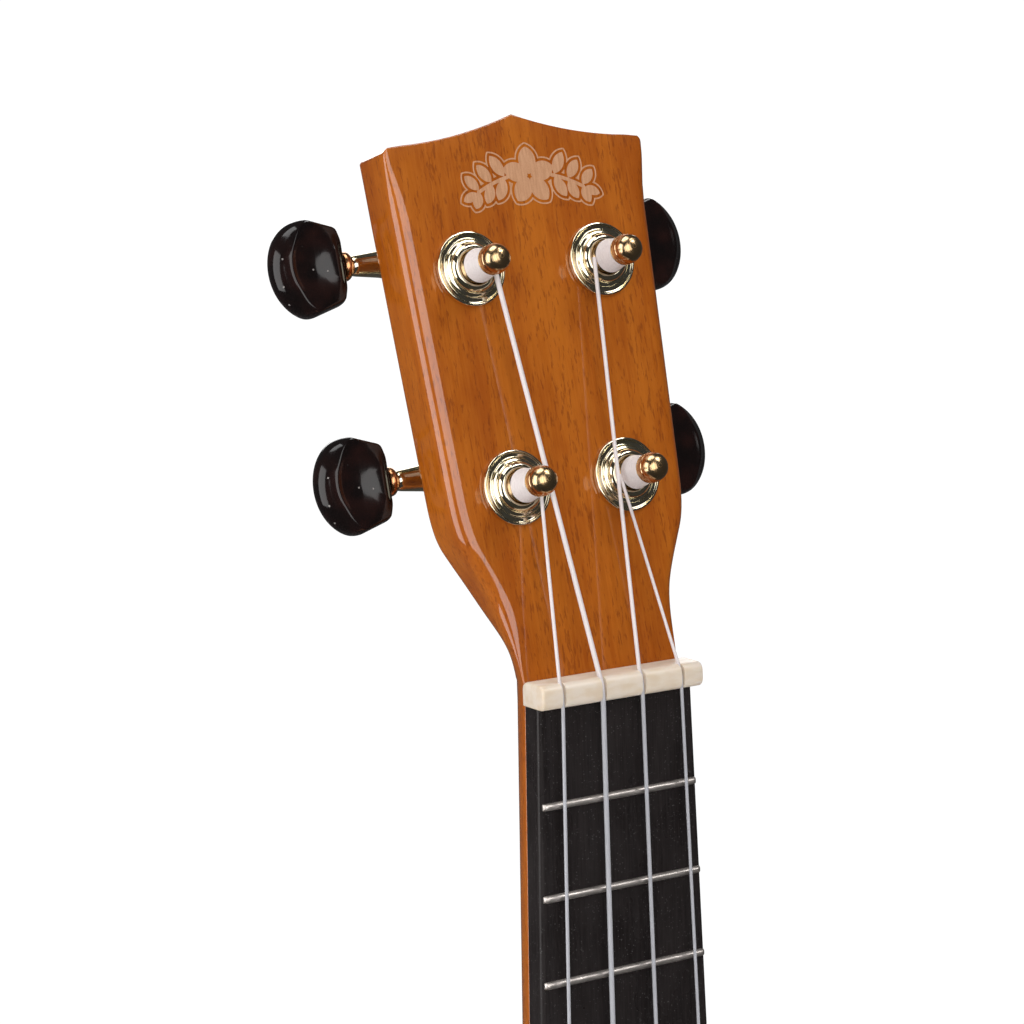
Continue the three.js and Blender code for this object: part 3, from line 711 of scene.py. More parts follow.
@made_once
def lacquered_wood(finish, colours):
    """Orange-brown wood under clear gloss: bands, fibres and short dark pores along the grain."""
    point = finish.pattern()
    bands = finish.grain(point, (0.16, 0.16, 0.006), detail=3, distortion=0.4)
    ripple = finish.grain(point, (0.05, 0.05, 0.045), detail=2)
    fibres = finish.grain(point, (2.6, 2.6, 0.10), detail=5, roughness=0.65)
    pores = finish.grain(point, (2.0, 2.0, 0.42), detail=3, roughness=0.55, distortion=0.25)
    clusters = finish.grain(point, (0.30, 0.30, 0.03), detail=2)
    pore_mask = finish.ramp(pores + clusters * 0.15, 0.625, 0.74)
    mottle = finish.grain(point, (0.42, 0.42, 0.16), detail=3)
    tone = finish.ramp(bands * 0.45 + ripple * 0.20 + fibres * 0.28 + mottle * 0.20, 0.41, 0.72)
    wood = finish.mix(tone, tuple(colours.wood_dark), tuple(colours.wood_light))
    stained = finish.mix(pore_mask * 0.46, wood, tuple(colours.wood_pore))
    relief = 1 - pore_mask * 0.7 + fibres * 0.15
    return finish.set(
        Base_Color=stained,
        Roughness=finish.polish(fibres, 0.34, 0.46),
        Normal=finish.bump(relief, 0.03, 0.35),
        Coat_Weight=0.95,
        Coat_Roughness=0.05,
        Coat_IOR=1.65,
        Specular_IOR_Level=0.12,
    )


@made_once
def raw_wood(finish, colours):
    """Pale bare wood with straight grain and fine saw marks."""
    point = finish.place()
    bands = finish.grain(point, (0.5, 0.5, 0.02), detail=4, distortion=0.6)
    fibres = finish.grain(point, (4.0, 4.0, 0.2), detail=4)
    saw = finish.grain(point, (0.1, 0.1, 2.5), detail=1)
    light = tuple(colours.raw_wood)
    dark = tuple(c * 0.62 for c in light)
    tone = finish.ramp(bands * 0.7 + fibres * 0.4, 0.35, 0.75)
    return finish.set(
        Base_Color=finish.mix(tone, dark, light),
        Roughness=finish.polish(fibres, 0.62, 0.82),
        Normal=finish.bump(fibres + saw * 0.6, 0.06, 0.5),
    )


@made_once
def dark_wood(finish, colours):
    """Near-black satin board: fine grain, dust specks and hairline scratches."""
    point = finish.pattern()
    grain = finish.grain(point, (2.5, 2.5, 0.10), detail=5, roughness=0.6)
    patches = finish.grain(point, (0.09, 0.09, 0.05), detail=3)
    specks = finish.cells(point, 1.5)
    speck_size = finish.grain(point, (0.25, 0.25, 0.25), detail=3)
    dust = finish.ramp(specks - speck_size * 0.30, 0.02, -0.03)
    scratch_line = finish.grain(point, (0.5, 0.5, 6.0), detail=2, distortion=1.5)
    scratches = finish.ramp(scratch_line, 0.715, 0.74)
    base = tuple(colours.board)
    light = tuple(c * 1.7 + 0.004 for c in base)
    body_colour = finish.mix(finish.ramp(grain * 0.6 + patches * 0.4, 0.35, 0.65), base, light)
    dusty = finish.mix(dust * 0.13, body_colour, (0.42, 0.41, 0.41))
    return finish.set(
        Base_Color=finish.mix(scratches * 0.22, dusty, (0.20, 0.19, 0.19)),
        Roughness=finish.polish(patches, 0.25, 0.34),
        Normal=finish.bump(grain, 0.03, 0.35),
        Specular_IOR_Level=0.24,
    )


@made_once
def cream_plastic(finish, colours):
    """Polished cream nut material with faint streaks."""
    point = finish.pattern()
    cloud = finish.grain(point, (0.25, 0.6, 0.6), detail=3)
    fine = finish.grain(point, (3, 3, 3), detail=3)
    light = tuple(colours.cream)
    warm = tinted(light, 0.93, 0.88, 0.80)
    return finish.set(
        Base_Color=finish.mix(finish.ramp(cloud, 0.35, 0.7), light, warm),
        Roughness=finish.polish(fine, 0.28, 0.40),
        Normal=finish.bump(fine, 0.015, 0.4),
        Subsurface_Weight=0.12,
        Subsurface_Radius=(1.0, 0.7, 0.4),
        Subsurface_Scale=1.2 * MM,
    )


@made_once
def fret_wire(finish, colours):
    """Drawn nickel alloy, polished along its length, a little worn."""
    point = finish.pattern()
    lines = finish.grain(point, (0.3, 9, 9), detail=3)
    wear = finish.grain(point, (0.35, 0.35, 0.35), detail=3)
    light = tuple(colours.fret_wire)
    dull = tuple(c * 0.72 for c in light)
    return finish.set(
        Base_Color=finish.mix(finish.ramp(wear, 0.4, 0.65), light, dull),
        Metallic=1.0,
        Roughness=finish.polish(lines * 0.6 + wear * 0.4, 0.38, 0.54),
        Normal=finish.bump(lines, 0.01, 0.4),
    )


@made_once
def nylon(finish, colours):
    """Pale translucent nylon with a faint mottle, painted lighter above the nut: painted light, for the
    brighter light round the strings over the head.
    """
    point = finish.place()
    cloud = finish.grain(point, (0.25, 0.25, 0.04), detail=2)
    fine = finish.grain(point, (6, 6, 0.6), detail=2)
    grey = tuple(colours.nylon)
    painted_light_above_nut = tinted(grey, 1.60, 1.45, 1.34)
    mottled_grey = finish.mix(finish.ramp(cloud, 0.35, 0.65, 0.0, 0.12), grey, tuple(c * 0.6 for c in grey))
    return finish.set(
        # Painted light: the strings' colour goes lighter above the nut, where they lie over the brightly
        # lit head.
        Base_Color=finish.mix(finish.ramp(finish.part(point, "Z"), -2, 7), mottled_grey, painted_light_above_nut),
        Roughness=finish.polish(fine, 0.22, 0.34),
        Normal=finish.bump(fine, 0.004, 0.2),
        IOR=1.5,
        Subsurface_Weight=0.15,
        Subsurface_Radius=(1.0, 0.9, 0.9),
        Subsurface_Scale=0.5 * MM,
    )


@made_once
def gold_plate(finish, colours):
    """Bright pale gold plating with hairlines and slight tarnish."""
    point = finish.pattern()
    tarnish = finish.grain(point, (0.35, 0.35, 0.35), detail=4)
    fine = finish.grain(point, (5, 5, 5), detail=3)
    bright = tuple(colours.gold)
    deep = tinted(bright, 0.86, 0.78, 0.62)
    return finish.set(
        Base_Color=finish.mix(finish.ramp(tarnish, 0.42, 0.72), bright, deep),
        Metallic=1.0,
        Roughness=finish.ramp(fine * 0.5 + tarnish * 0.5, 0.35, 0.65, 0.07, 0.13),
        Normal=finish.bump(fine, 0.003, 0.2),
    )


def brass_look(finish, bright):
    """Turned brass: fine rings round the axis, and slight tarnish."""
    point = finish.pattern()
    along = finish.part(point, "Y")
    across = (finish.part(point, "X") ** 2 + finish.part(point, "Z") ** 2) ** 0.5
    rings = finish.noise(
        finish.node("ShaderNodeCombineXYZ", inputs={"X": along * 4.5, "Y": across * 4.5}), detail=3
    )
    tarnish = finish.grain(point, (0.5, 0.5, 0.5), detail=3)
    deep = tinted(bright, 0.78, 0.68, 0.54)
    return finish.set(
        Base_Color=finish.mix(finish.ramp(rings * 0.6 + tarnish * 0.4, 0.38, 0.68), bright, deep),
        Metallic=1.0,
        Roughness=finish.polish(rings, 0.15, 0.28),
        Normal=finish.bump(rings, 0.05, 0.6),
    )


@made_once
def turned_brass(finish, colours):
    """The string posts' turned brass."""
    return brass_look(finish, tuple(colours.brass))


@made_once
def shaft_brass(finish, colours):
    """The shafts' brass, which is redder than the posts'."""
    return brass_look(finish, tuple(colours.shaft))


@made_once
def button_plastic(finish, colours):
    """Gloss black moulded plastic with a few specks of dust."""
    point = finish.pattern()
    flow = finish.grain(point, (0.18, 0.18, 0.18), detail=2)
    specks = finish.cells(point, 0.30)
    dust = finish.ramp(specks, 0.075, 0.05)
    base = tuple(colours.button)
    warm = tinted(base, 2.6, 1.5, 1.3)
    colour_now = finish.mix(finish.ramp(flow, 0.35, 0.7), base, warm)
    return finish.set(
        Base_Color=finish.mix(dust * 0.5, colour_now, (0.45, 0.42, 0.40)),
        Roughness=finish.polish(flow, 0.10, 0.16),
        Normal=finish.bump(flow, 0.12, 0.25),
        Coat_Weight=0.15,
        Coat_Roughness=0.04,
        Specular_IOR_Level=0.32,
    )


@made_once
def pearl(finish, colours):
    """Pearl with soft clouded bands."""
    point = finish.place()
    cloud = finish.grain(point, (0.5, 0.5, 0.5), detail=3, distortion=2.0)
    light = tuple(colours.pearl)
    tint = tinted(light, 0.80, 0.88, 0.92)
    return finish.set(
        Base_Color=finish.mix(finish.ramp(cloud, 0.35, 0.65), light, tint),
        Roughness=finish.polish(cloud, 0.16, 0.26),
        Normal=finish.bump(cloud, 0.03, 0.3),
        Coat_Weight=0.5,
        Coat_Roughness=0.05,
    )


@made_once
def etched_wood(finish, colours):
    """Wood bared by etching through the lacquer: pale, dry and slightly streaked."""
    point = finish.pattern()
    fibres = finish.grain(point, (2.2, 2.2, 0.2), detail=4)
    fine = finish.grain(point, (6, 6, 6), detail=2)
    light = tuple(colours.etching)
    dark = tinted(light, 0.80, 0.72, 0.62)
    return finish.set(
        Base_Color=finish.mix(finish.ramp(fibres * 0.7 + fine * 0.3, 0.35, 0.65), light, dark),
        Roughness=finish.polish(fine, 0.45, 0.62),
        Normal=finish.bump(fine, 0.03, 0.4),
    )


@made_once
def stage_paper(finish, colours):
    """Plain white backdrop paper."""
    point = finish.place()
    tooth = finish.grain(point, (0.8, 0.8, 0.8), detail=3)
    return finish.set(
        Base_Color=finish.mix(tooth, (0.93, 0.93, 0.93), (0.90, 0.90, 0.90)),
        Roughness=finish.polish(tooth, 0.85, 0.95),
        Normal=finish.bump(tooth, 0.05, 0.2),
    )


# ---------------------------------------------------------------- neck and head


def head_half(up):
    """Half the head's width at a distance up from the nut."""
    shoulders = [(0.0, 18.0)] + bezier((0, 18.0), (13.5, 18.9), (18.5, 22.0), (26, 25.3), 30)
    shoulders += bezier((26, 25.3), (28.33, 26.3), (31.67, 26.9), (36, 27.1), 12)
    ups, halves = zip(*(shoulders + [(120, HEAD_HALF + 0.6)]))
    return float(np.interp(up, ups, halves))


def head_top(across):
    """Where the head ends at a distance across: two hollow curves that meet in a peak."""
    return HEAD_LENGTH + HEAD_PEAK * max(1 - abs(across) / HEAD_HALF, 0) ** 2


def even_steps(points, count):
    """Places points along a line by its length and its turning, so that corners get their share."""
    line = np.array(points)
    step = np.diff(line, axis=0)
    run = np.hypot(step[:, 0], step[:, 1])
    heading = np.unwrap(np.arctan2(step[:, 1], step[:, 0]))
    turning = np.abs(np.diff(heading, prepend=heading[0]))
    measure = np.concatenate([[0], np.cumsum(run / run.sum() + turning / max(turning.sum(), 1e-6))])
    wanted = np.linspace(0, measure[-1], count)
    return np.stack([np.interp(wanted, measure, line[:, k]) for k in (0, 1)], 1)


def neck_section(half, depth, squareness, edge, limit=1e9, shrink=0.0):
    """A closed ring of (across, depth) points with a flat front and a round or square back."""
    flat = [(x, 0.0) for x in np.linspace(0, half - edge, 11)]
    turns = [math.radians(a) for a in range(0, 91, 15)]
    corner = [(half - edge + edge * math.sin(a), edge - edge * math.cos(a)) for a in turns]
    angles = [math.pi / 2 * i / 160 for i in range(161)]
    power = 2 / squareness
    back = [
        (half * math.cos(a) ** power, min(edge + (depth - edge) * math.sin(a) ** power, limit))
        for a in angles
    ]
    back[-1] = (0.0, back[-1][1])
    side = flat[:-1] + corner[:-1] + [tuple(p) for p in even_steps(back, 36)]
    if shrink:
        middle_depth = depth / 2
        side = [
            (max(x - shrink, 0) if x > 1e-6 else 0.0,
             y + math.copysign(min(shrink, abs(middle_depth - y)), middle_depth - y))
            for x, y in side
        ]
    return side + [(-x, y) for x, y in side[-2:0:-1]]


def neck_rings():
    heel_back = BODY_BACK - 3 - NECK_TOP
    rings = []

    def level(z, depth, edge=0.3):
        section = neck_section(board_half(min(z, 0)), depth, 2, edge, heel_back)
        rings.append([(x, NECK_TOP + y, z) for x, y in section])

    level(JOINT_Z + 0.05, HEEL_DEPTH)
    for i in range(29):
        angle = math.pi / 2 * (1 - i / 28)
        depth = NECK_DEPTH + (HEEL_DEPTH - NECK_DEPTH) * (1 - math.cos(angle))
        level(JOINT_Z + HEEL_LENGTH + HEEL_SWEEP * (1 - math.sin(angle)), depth)
    for z in np.linspace(JOINT_Z + HEEL_LENGTH + HEEL_SWEEP, 0, 12)[1:]:
        level(float(z), NECK_DEPTH)
    level(NUT_THICK - 0.8, NECK_DEPTH)
    return rings


def head_station(up, edge, rise=0.0, shrink=0.0):
    """One ring across the head. Rise warps it towards the head's curved top."""
    half = head_half(up)
    depth = blend(12.75, 12.26, smooth(0, 8, up)) * math.cos(TILT)
    squareness = 2 + 16 * smooth(2, 30, up) ** 1.5
    lean = math.tan(TILT) * (1 - smooth(6, 44, up))
    rounding = blend(0.3, edge, smooth(0, 16, up)) * blend(1.0, 0.3, smooth(92, 105.5, up))
    section = neck_section(half, depth, squareness, rounding, shrink=shrink)
    ring = []
    for x, y in section:
        corner = max(abs(x) - (half - 2), 0)
        dropped = 2 - math.sqrt(max(4 - corner * corner, 0))
        lift = rise * (head_top(x) - HEAD_LENGTH - dropped)
        ring.append(tuple(HEAD @ Vector((x, y, up + lift + lean * y))))
    return ring


def head_rings(edge):
    rings = [head_station(up, edge) for up in np.linspace(-0.3, 36, 34)]
    rings += [head_station(up, edge) for up in np.linspace(40, 96, 15)]
    for up in (99, 101.5, 103):
        rings.append(head_station(up, edge, rise=(up - 96) / 9))
    top_edge = 0.25
    for i in range(7):
        angle = math.pi / 2 * i / 6
        up = HEAD_LENGTH - top_edge * (1 - math.sin(angle))
        shrink = top_edge * (1 - math.cos(angle))
        rings.append(head_station(up, edge, rise=1.0, shrink=shrink))
    return rings


def neck_blank(edge):
    """The neck and head as one lofted piece, closed at the top by strips from front to back."""
    rings = neck_rings() + head_rings(edge)
    count = len(rings[0])
    points = [point for ring in rings for point in ring]
    faces = [tuple(range(count))]
    for r in range(len(rings) - 1):
        for i in range(count):
            j = (i + 1) % count
            faces.append((r * count + i, r * count + j, (r + 1) * count + j, (r + 1) * count + i))
    start = len(points) - count
    half = count // 2
    for i in range(half // 2):
        for a, b in ((i, i + 1), (-i, -i - 1)):
            strip = [start + k % count for k in (a, b, half - b, half - a)]
            faces.append(tuple(dict.fromkeys(strip)))
    return solid(points, [face for face in faces if len(face) > 2])


def bent_grain(points):
    """The grain follows the neck and leans back with the head."""
    bent = points.copy()
    beyond = np.maximum(points[:, 2] - NUT_THICK, 0)
    bent[:, 1] -= beyond * math.tan(TILT)
    return bent


class UkuleleNeck(bpy.types.Operator):
    """Makes the neck and head from one piece of lacquered wood, bored for the posts"""

    bl_idname = "ukulele.neck"
    bl_label = "Neck and head"

    def execute(self, context):
        edge = sizes().head_edge / MM
        holes = []
        for name in STRINGS:
            hole = turned(rod(POST_HOLE, -3, HEAD_THICK + 3), 48)
            hole.transform(tuner_matrix(name))
            holes.append(hole)
        shape = carved(neck_blank(edge), "DIFFERENCE", *holes)
        finished("neck_and_head", shape, lacquered_wood(), nodes=("neck",),
                 pattern=bent_grain)
        return {"FINISHED"}


class UkuleleHeelCap(bpy.types.Operator):
    """Makes the cap on the heel's flat end"""

    bl_idname = "ukulele.heel_cap"
    bl_label = "Heel cap"

    def execute(self, context):
        lowest, highest = low("heel_cap"), high("heel_cap")
        half = highest.x
        start = highest.z - 3.6
        arc = bezier((half, start), (half * 0.95, highest.z), (half * 0.5, highest.z), (0, highest.z), 12)
        outline = [(-half, lowest.z), (half, lowest.z), (half, start)] + arc
        outline += [(-x, z) for x, z in reversed(arc[:-1])] + [(-half, start)]
        shape = slab(outline, rounded_edges(lowest.y, highest.y, 0.5))
        finished("heel_cap_piece", shape, dark_wood(), nodes=("heel_cap",))
        return {"FINISHED"}


# ---------------------------------------------------------------- fretboard, frets and nut


def board_section(z, edge, slotted=False):
    half = board_half(z)
    turns = [math.radians(a) for a in range(0, 91, 15)]
    corner = [(half - edge + edge * math.sin(a), edge - edge * math.cos(a)) for a in turns]
    slot_end = half - edge - 0.1
    depth = 2.0 if slotted else 0.0
    side = [(0.0, depth), (slot_end, depth), (slot_end + 0.02, 0.0)] + corner
    side += [(half, BOARD_THICK / 2), (half, BOARD_THICK), (half / 2, BOARD_THICK), (0.0, BOARD_THICK)]
    ring = side + [(-x, y) for x, y in side[-2:0:-1]]
    return [(x, y, z) for x, y in ring]


class UkuleleFretboard(bpy.types.Operator):
    """Makes the fretboard with its rounded edges and a slot for each fret"""

    bl_idname = "ukulele.fretboard"
    bl_label = "Fretboard"

    def execute(self, context):
        edge = sizes().board_edge / MM
        end = low("fretboard").z
        rings = [board_section(end, edge)]
        for k in range(FRET_COUNT, 0, -1):
            z = fret_z(k)
            for offset, slotted in ((-0.3, False), (-0.3, True), (0.3, True), (0.3, False)):
                rings.append(board_section(z + offset, edge, slotted))
        rings.append(board_section(0, edge))
        finished("fretboard_piece", loft(rings), dark_wood(), nodes=("fretboard",),
                 sharp=28)
        return {"FINISHED"}


def fret_blank(half, width, height):
    """One fret: a flattened crown with sloped ends, and its tang."""
    crown = []
    for i in range(13):
        angle = math.pi * i / 12
        across = -math.cos(angle)
        crown.append((-height * min(math.sin(angle) ** 0.75 * 1.06, 1.0), across * width / 2))
    tang = [(0.02, width / 2), (0.02, 0.24), (1.8, 0.2), (1.8, -0.2), (0.02, -0.24), (0.02, -width / 2)]
    slope = [(0, 0.30), (0.06, 0.45), (0.25, 0.72), (0.5, 0.90), (0.8, 0.98), (1.2, 1.0)]
    stations = [(half - inward, share) for inward, share in slope]
    stations += [(-x, share) for x, share in reversed(stations)]
    loops = []
    for x, share in stations:
        ring = [(x, y * share, z * (0.75 + 0.25 * share)) for y, z in crown]
        tang_x = max(min(x, half - 1.0), 1.0 - half)
        ring += [(tang_x if y > 1 else x, y, z * (0.75 + 0.25 * share)) for y, z in tang]
        loops.append(ring)
    return loft(loops)


def fret_pattern():
    """Stands a fret at each step of the equal-tempered rule, stretched to the board's width there."""
    tree = Pattern("fret_spacing", [
        ("Fret Blank", "Object", None),
        ("Count", "Int", FRET_COUNT),
        ("Scale Length", "Float", SCALE_LENGTH),
        ("Half Width", "Float", BOARD_HALF),
        ("Taper", "Float", BOARD_TAPER),
        ("Finish", "Material", None),
    ])
    number = tree.node("GeometryNodeInputIndex") + 1.0
    scale_length = tree.given("Scale Length")
    z = scale_length / (2.0 ** (number / 12.0)) - scale_length
    half = tree.given("Half Width")
    line = tree.node("GeometryNodeMeshLine", inputs={"Count": tree.given("Count")})
    spaced = tree.node("GeometryNodeSetPosition", inputs={
        "Geometry": line,
        "Position": tree.node("ShaderNodeCombineXYZ", inputs={"Z": z}),
    })
    stretch = (half - z * tree.given("Taper") - FRET_INSET) / half
    blank = tree.node(
        "GeometryNodeObjectInfo", inputs={"Object": tree.given("Fret Blank")}, output="Geometry"
    )
    frets = tree.node("GeometryNodeInstanceOnPoints", inputs={
        "Points": spaced,
        "Instance": blank,
        "Scale": tree.node("ShaderNodeCombineXYZ", inputs={"X": stretch, "Y": 1.0, "Z": 1.0}),
    })
    return tree.finish(frets)


class UkuleleFrets(bpy.types.Operator):
    """Sets the frets along the fretboard"""

    bl_idname = "ukulele.frets"
    bl_label = "Frets"

    def execute(self, context):
        given = sizes()
        blank = holder("fret", fret_blank(BOARD_HALF, given.fret_width / MM, given.fret_height / MM))
        mesh = fret_pattern().grow(
            fret_blank=blank, count=FRET_COUNT, scale_length=SCALE_LENGTH, half_width=BOARD_HALF,
            taper=BOARD_TAPER, finish=fret_wire(),
        )
        discard(blank)
        if not mesh.polygons:
            raise RuntimeError("the fret pattern made nothing")
        finished("frets", mesh, fret_wire(), nodes=FRETS, sharp=40)
        return {"FINISHED"}


def dot_pattern():
    """Lays a thin round inlay on each mark."""
    tree = Pattern("position_dots", [
        ("Radius", "Float", 2.5),
        ("Thickness", "Float", 0.3),
        ("Finish", "Material", None),
    ])
    disc = tree.node("GeometryNodeMeshCylinder", inputs={
        "Vertices": 40, "Radius": tree.given("Radius"), "Depth": tree.given("Thickness"),
    })
    dots = tree.node("GeometryNodeInstanceOnPoints", inputs={
        "Points": tree.given("Geometry"), "Instance": disc, "Rotation": (math.pi / 2, 0, 0),
    })
    return tree.finish(dots)


class UkuleleDots(bpy.types.Operator):
    """Lays the pearl position dots into the fretboard"""

    bl_idname = "ukulele.dots"
    bl_label = "Position dots"

    def execute(self, context):
        spots = []
        for k, offsets in ((5, (0,)), (7, (0,)), (10, (0,)), (12, (-9, 9))):
            z = (fret_z(k) + fret_z(k - 1)) / 2
            spots += [(x, 0.12, z) for x in offsets]
        mesh = dot_pattern().grow(
            marks(spots), radius=sizes().dot_width / MM / 2, thickness=0.3, finish=pearl(),
        )
        finished("position_dots", mesh, pearl())
        return {"FINISHED"}


class UkuleleNut(bpy.types.Operator):
    """Makes the nut with a round-bottomed groove for each string"""

    bl_idname = "ukulele.nut"
    bl_label = "Nut"

    def execute(self, context):
        lowest, highest = low("nut"), high("nut")
        section = fillet([
            (highest.y, lowest.z), (highest.y, highest.z), (lowest.y, highest.z),
            (lowest.y, lowest.z), (highest.y, lowest.z),
        ], 1.9, 8)[1:-1]
        section = [(highest.y, lowest.z + 0.01)] + section
        bar = slab(section, rounded_edges(lowest.x, highest.x, 0.55, 4), ALONG_X)
        grooves = []
        for i, name in enumerate(STRINGS):
            x = string_x(i, NUT_SPREAD)
            radius = GAUGE[name] / 2 + 0.03
            rings = []
            for z, drop in ((-1, 0.0), (1.6, 0.0), (3.6, 0.35), (6.5, 1.45)):
                floor = STRING_AT_NUT + drop
                arc = [math.pi * k / 12 for k in range(13)]
                ring = [(x + radius * math.cos(a), floor + radius * math.sin(a), z) for a in arc]
                rings.append([(x + radius, -8, z)] + ring + [(x - radius, -8, z)])
            grooves.append(loft(rings))
        shape = carved(bar, "DIFFERENCE", *grooves)
        finished("nut_piece", shape, cream_plastic(), nodes=("nut",))
        return {"FINISHED"}


# ---------------------------------------------------------------- the head's ornament


def leaf_distance(points, root, tip, width):
    """How far points lie outside a pointed leaf."""
    root, tip = np.array(root, float), np.array(tip, float)
    along = tip - root
    half_length = np.hypot(*along) / 2
    along /= 2 * half_length
    from_middle = points - (root + tip) / 2
    run = np.abs(from_middle @ along)
    off = np.abs(from_middle @ np.array([-along[1], along[0]]))
    half_width = width / 2
    radius = (half_length ** 2 + half_width ** 2) / (2 * half_width)
    return np.hypot(run, off + radius - half_width) - radius


def spray_distance(points):
    """How far points lie outside the spray: a five-petalled flower between two leafy branches."""
    middle_point = np.array([1.9, 98.6])
    nearest = np.full(len(points), 1e3)

    def leaf(root, degrees, size, width, side=1):
        way = np.array([side * math.cos(math.radians(degrees)), math.sin(math.radians(degrees))])
        return leaf_distance(points, root + way * 0.4, root + way * (0.4 + size), width)

    for k in range(5):
        nearest = np.minimum(nearest, leaf(middle_point, 90 + 72 * k, 5.6, 3.9))
    for side in (-1, 1):
        for step in range(3):
            reach = 5.6 + 3.1 * step
            root = middle_point + (side * reach, 0.6 - 0.022 * reach ** 2)
            for lean, size in ((58 - 6 * step, 5.0 - 0.5 * step), (-62 - 2 * step, 4.6 - 0.6 * step)):
                nearest = np.minimum(nearest, leaf(root, lean, size, 2.5 - 0.15 * step, side))
        tip = middle_point + (side * 12.2, -2.7)
        nearest = np.minimum(nearest, leaf(tip, -24, 3.6, 1.9, side))
        stem = points - middle_point
        along = np.clip(stem[:, 0] * side, 5.2, 12.2)
        stem_line = np.stack([along * side, 0.6 - 0.022 * along ** 2], 1)
        nearest = np.minimum(nearest, np.hypot(*(stem - stem_line).T) - 0.38)
    return nearest


def contour_faces(across, up, values):
    """The parts of a grid of squares where the values are below zero, as small faces."""
    shape = bmesh.new()
    made = {}

    def corner(key, point):
        if key not in made:
            made[key] = shape.verts.new((point[0], 0, point[1]))
        return made[key]

    for i, j in zip(*np.nonzero(np.minimum.reduce([
        values[:-1, :-1], values[1:, :-1], values[1:, 1:], values[:-1, 1:],
    ]) < 0)):
        ring = [(i, j), (i + 1, j), (i + 1, j + 1), (i, j + 1)]
        face = []
        for a, b in zip(ring, ring[1:] + ring[:1]):
            value_a, value_b = values[a], values[b]
            if value_a < 0:
                face.append(corner(a, (across[a[0]], up[a[1]])))
            if (value_a < 0) != (value_b < 0):
                share = value_a / (value_a - value_b)
                point = (blend(across[a[0]], across[b[0]], share), blend(up[a[1]], up[b[1]], share))
                face.append(corner((min(a, b), max(a, b)), point))
        if len(face) > 2:
            shape.faces.new(face)
    return shape


class UkuleleOrnament(bpy.types.Operator):
    """Etches a spray of leaves with a thin outline round it into the head"""

    bl_idname = "ukulele.ornament"
    bl_label = "Head ornament"

    def execute(self, context):
        across = np.arange(-18, 22.4, 0.13)
        up = np.arange(89.5, 106.5, 0.13)
        grid = np.stack(np.meshgrid(across, up, indexing="ij"), -1)
        gap = spray_distance(grid.reshape(-1, 2)).reshape(grid.shape[:2])
        height = sizes().etch_height / MM
        shapes = []
        for values in (gap, np.maximum(0.55 - gap, gap - 0.85)):
            flat = contour_faces(across, up, values)
            bmesh.ops.remove_doubles(flat, verts=flat.verts, dist=0.004)
            bmesh.ops.dissolve_limit(flat, angle_limit=0.02, verts=flat.verts, edges=flat.edges)
            raised = bmesh.ops.extrude_face_region(flat, geom=flat.faces[:])
            tops = [part for part in raised["geom"] if isinstance(part, bmesh.types.BMVert)]
            bmesh.ops.translate(flat, verts=tops, vec=(0, -height - 0.15, 0))
            bmesh.ops.translate(flat, verts=flat.verts, vec=(0, 0.15, 0))
            bmesh.ops.recalc_face_normals(flat, faces=flat.faces)
            shapes.append(flat)
        finished("head_ornament", together(*shapes), etched_wood(), place=HEAD, sharp=20)
        return {"FINISHED"}


# ---------------------------------------------------------------- body


def half_outline(steps=22):
    """Half the body's outline from the neck joint to the tail, in X and Z."""
    line = [(0.0, 0.0), (11.0, 0.0), (22.0, 0.0)]
    line += bezier((22, 0), (47, 0), (63.5, 15), (63.5, 43), steps)
    line += bezier((63.5, 43), (63.5, 63), (52.5, 73), (52.5, 95), steps)
    line += bezier((52.5, 95), (52.5, 122), (85, 138), (85, 176), steps)
    line += bezier((85, 176), (85, 214), (52, 240), (0, 240), steps + 8)
    return [(x, JOINT_Z - drop) for x, drop in line]


def body_outline():
    half = half_outline()
    return half[:-1] + [(-x, z) for x, z in reversed(half[1:])]


class UkuleleBody(bpy.types.Operator):
    """Makes the soundboard, the back and the two bent sides"""

    bl_idname = "ukulele.body"
    bl_label = "Body"

    def execute(self, context):
        edge = sizes().body_edge / MM
        front_profile = rounded_front(BODY_FRONT, edge) + [(0, BODY_FRONT + PLATE_THICK)]
        board = slab(body_outline(), front_profile)
        hole = turned(rod(HOLE_RADIUS, BODY_FRONT - 2, BODY_FRONT + 4), 96)
        bmesh.ops.translate(hole, verts=hole.verts, vec=(0, 0, HOLE_Z))
        finished("soundboard_piece", carved(board, "DIFFERENCE", hole), lacquered_wood(),
                 nodes=("soundboard",), pattern=lambda p: p + (37, 0, 0))
        back_profile = [(0, BODY_BACK - PLATE_THICK)] + rounded_back(BODY_BACK, edge)
        finished("back_piece", slab(body_outline(), back_profile), lacquered_wood(),
                 nodes=("back_plate",), pattern=lambda p: p + (-61, 0, 80))
        for side, node in ((1, "side_treble"), (-1, "side_bass")):
            self.side_wall(side, node)
        return {"FINISHED"}

    def side_wall(self, side, node):
        """A bent side: its grain runs round the outline."""
        lowest, highest = low(node), high(node)
        line = np.array(half_outline(26))
        after = np.gradient(line, axis=0)
        after /= np.linalg.norm(after, axis=1)[:, None]
        inner = line + np.stack([after[:, 1], -after[:, 0]], 1) * 1.8
        inner[0, 0] = inner[-1, 0] = line[0, 0] = line[-1, 0] = 0.05
        run = np.concatenate([[0], np.cumsum(np.linalg.norm(np.diff(line, axis=0), axis=1))])
        rings = []
        for outer_point, inner_point in zip(line, inner):
            rings.append([
                (side * x, y, z)
                for (x, z), y in (
                    (outer_point, lowest.y), (outer_point, highest.y),
                    (inner_point, highest.y), (inner_point, lowest.y),
                )
            ])
        shape = loft(rings)

        def round_the_side(points):
            flat = np.stack([points[:, 0] * side, points[:, 2]], 1)
            nearest = np.argmin(((flat[:, None] - line[None]) ** 2).sum(2), 1)
            return np.stack([points[:, 1] + 90 * side, np.zeros(len(points)), run[nearest]], 1)

        finished(f"{node}_piece", shape, lacquered_wood(), nodes=(node,),
                 pattern=round_the_side)


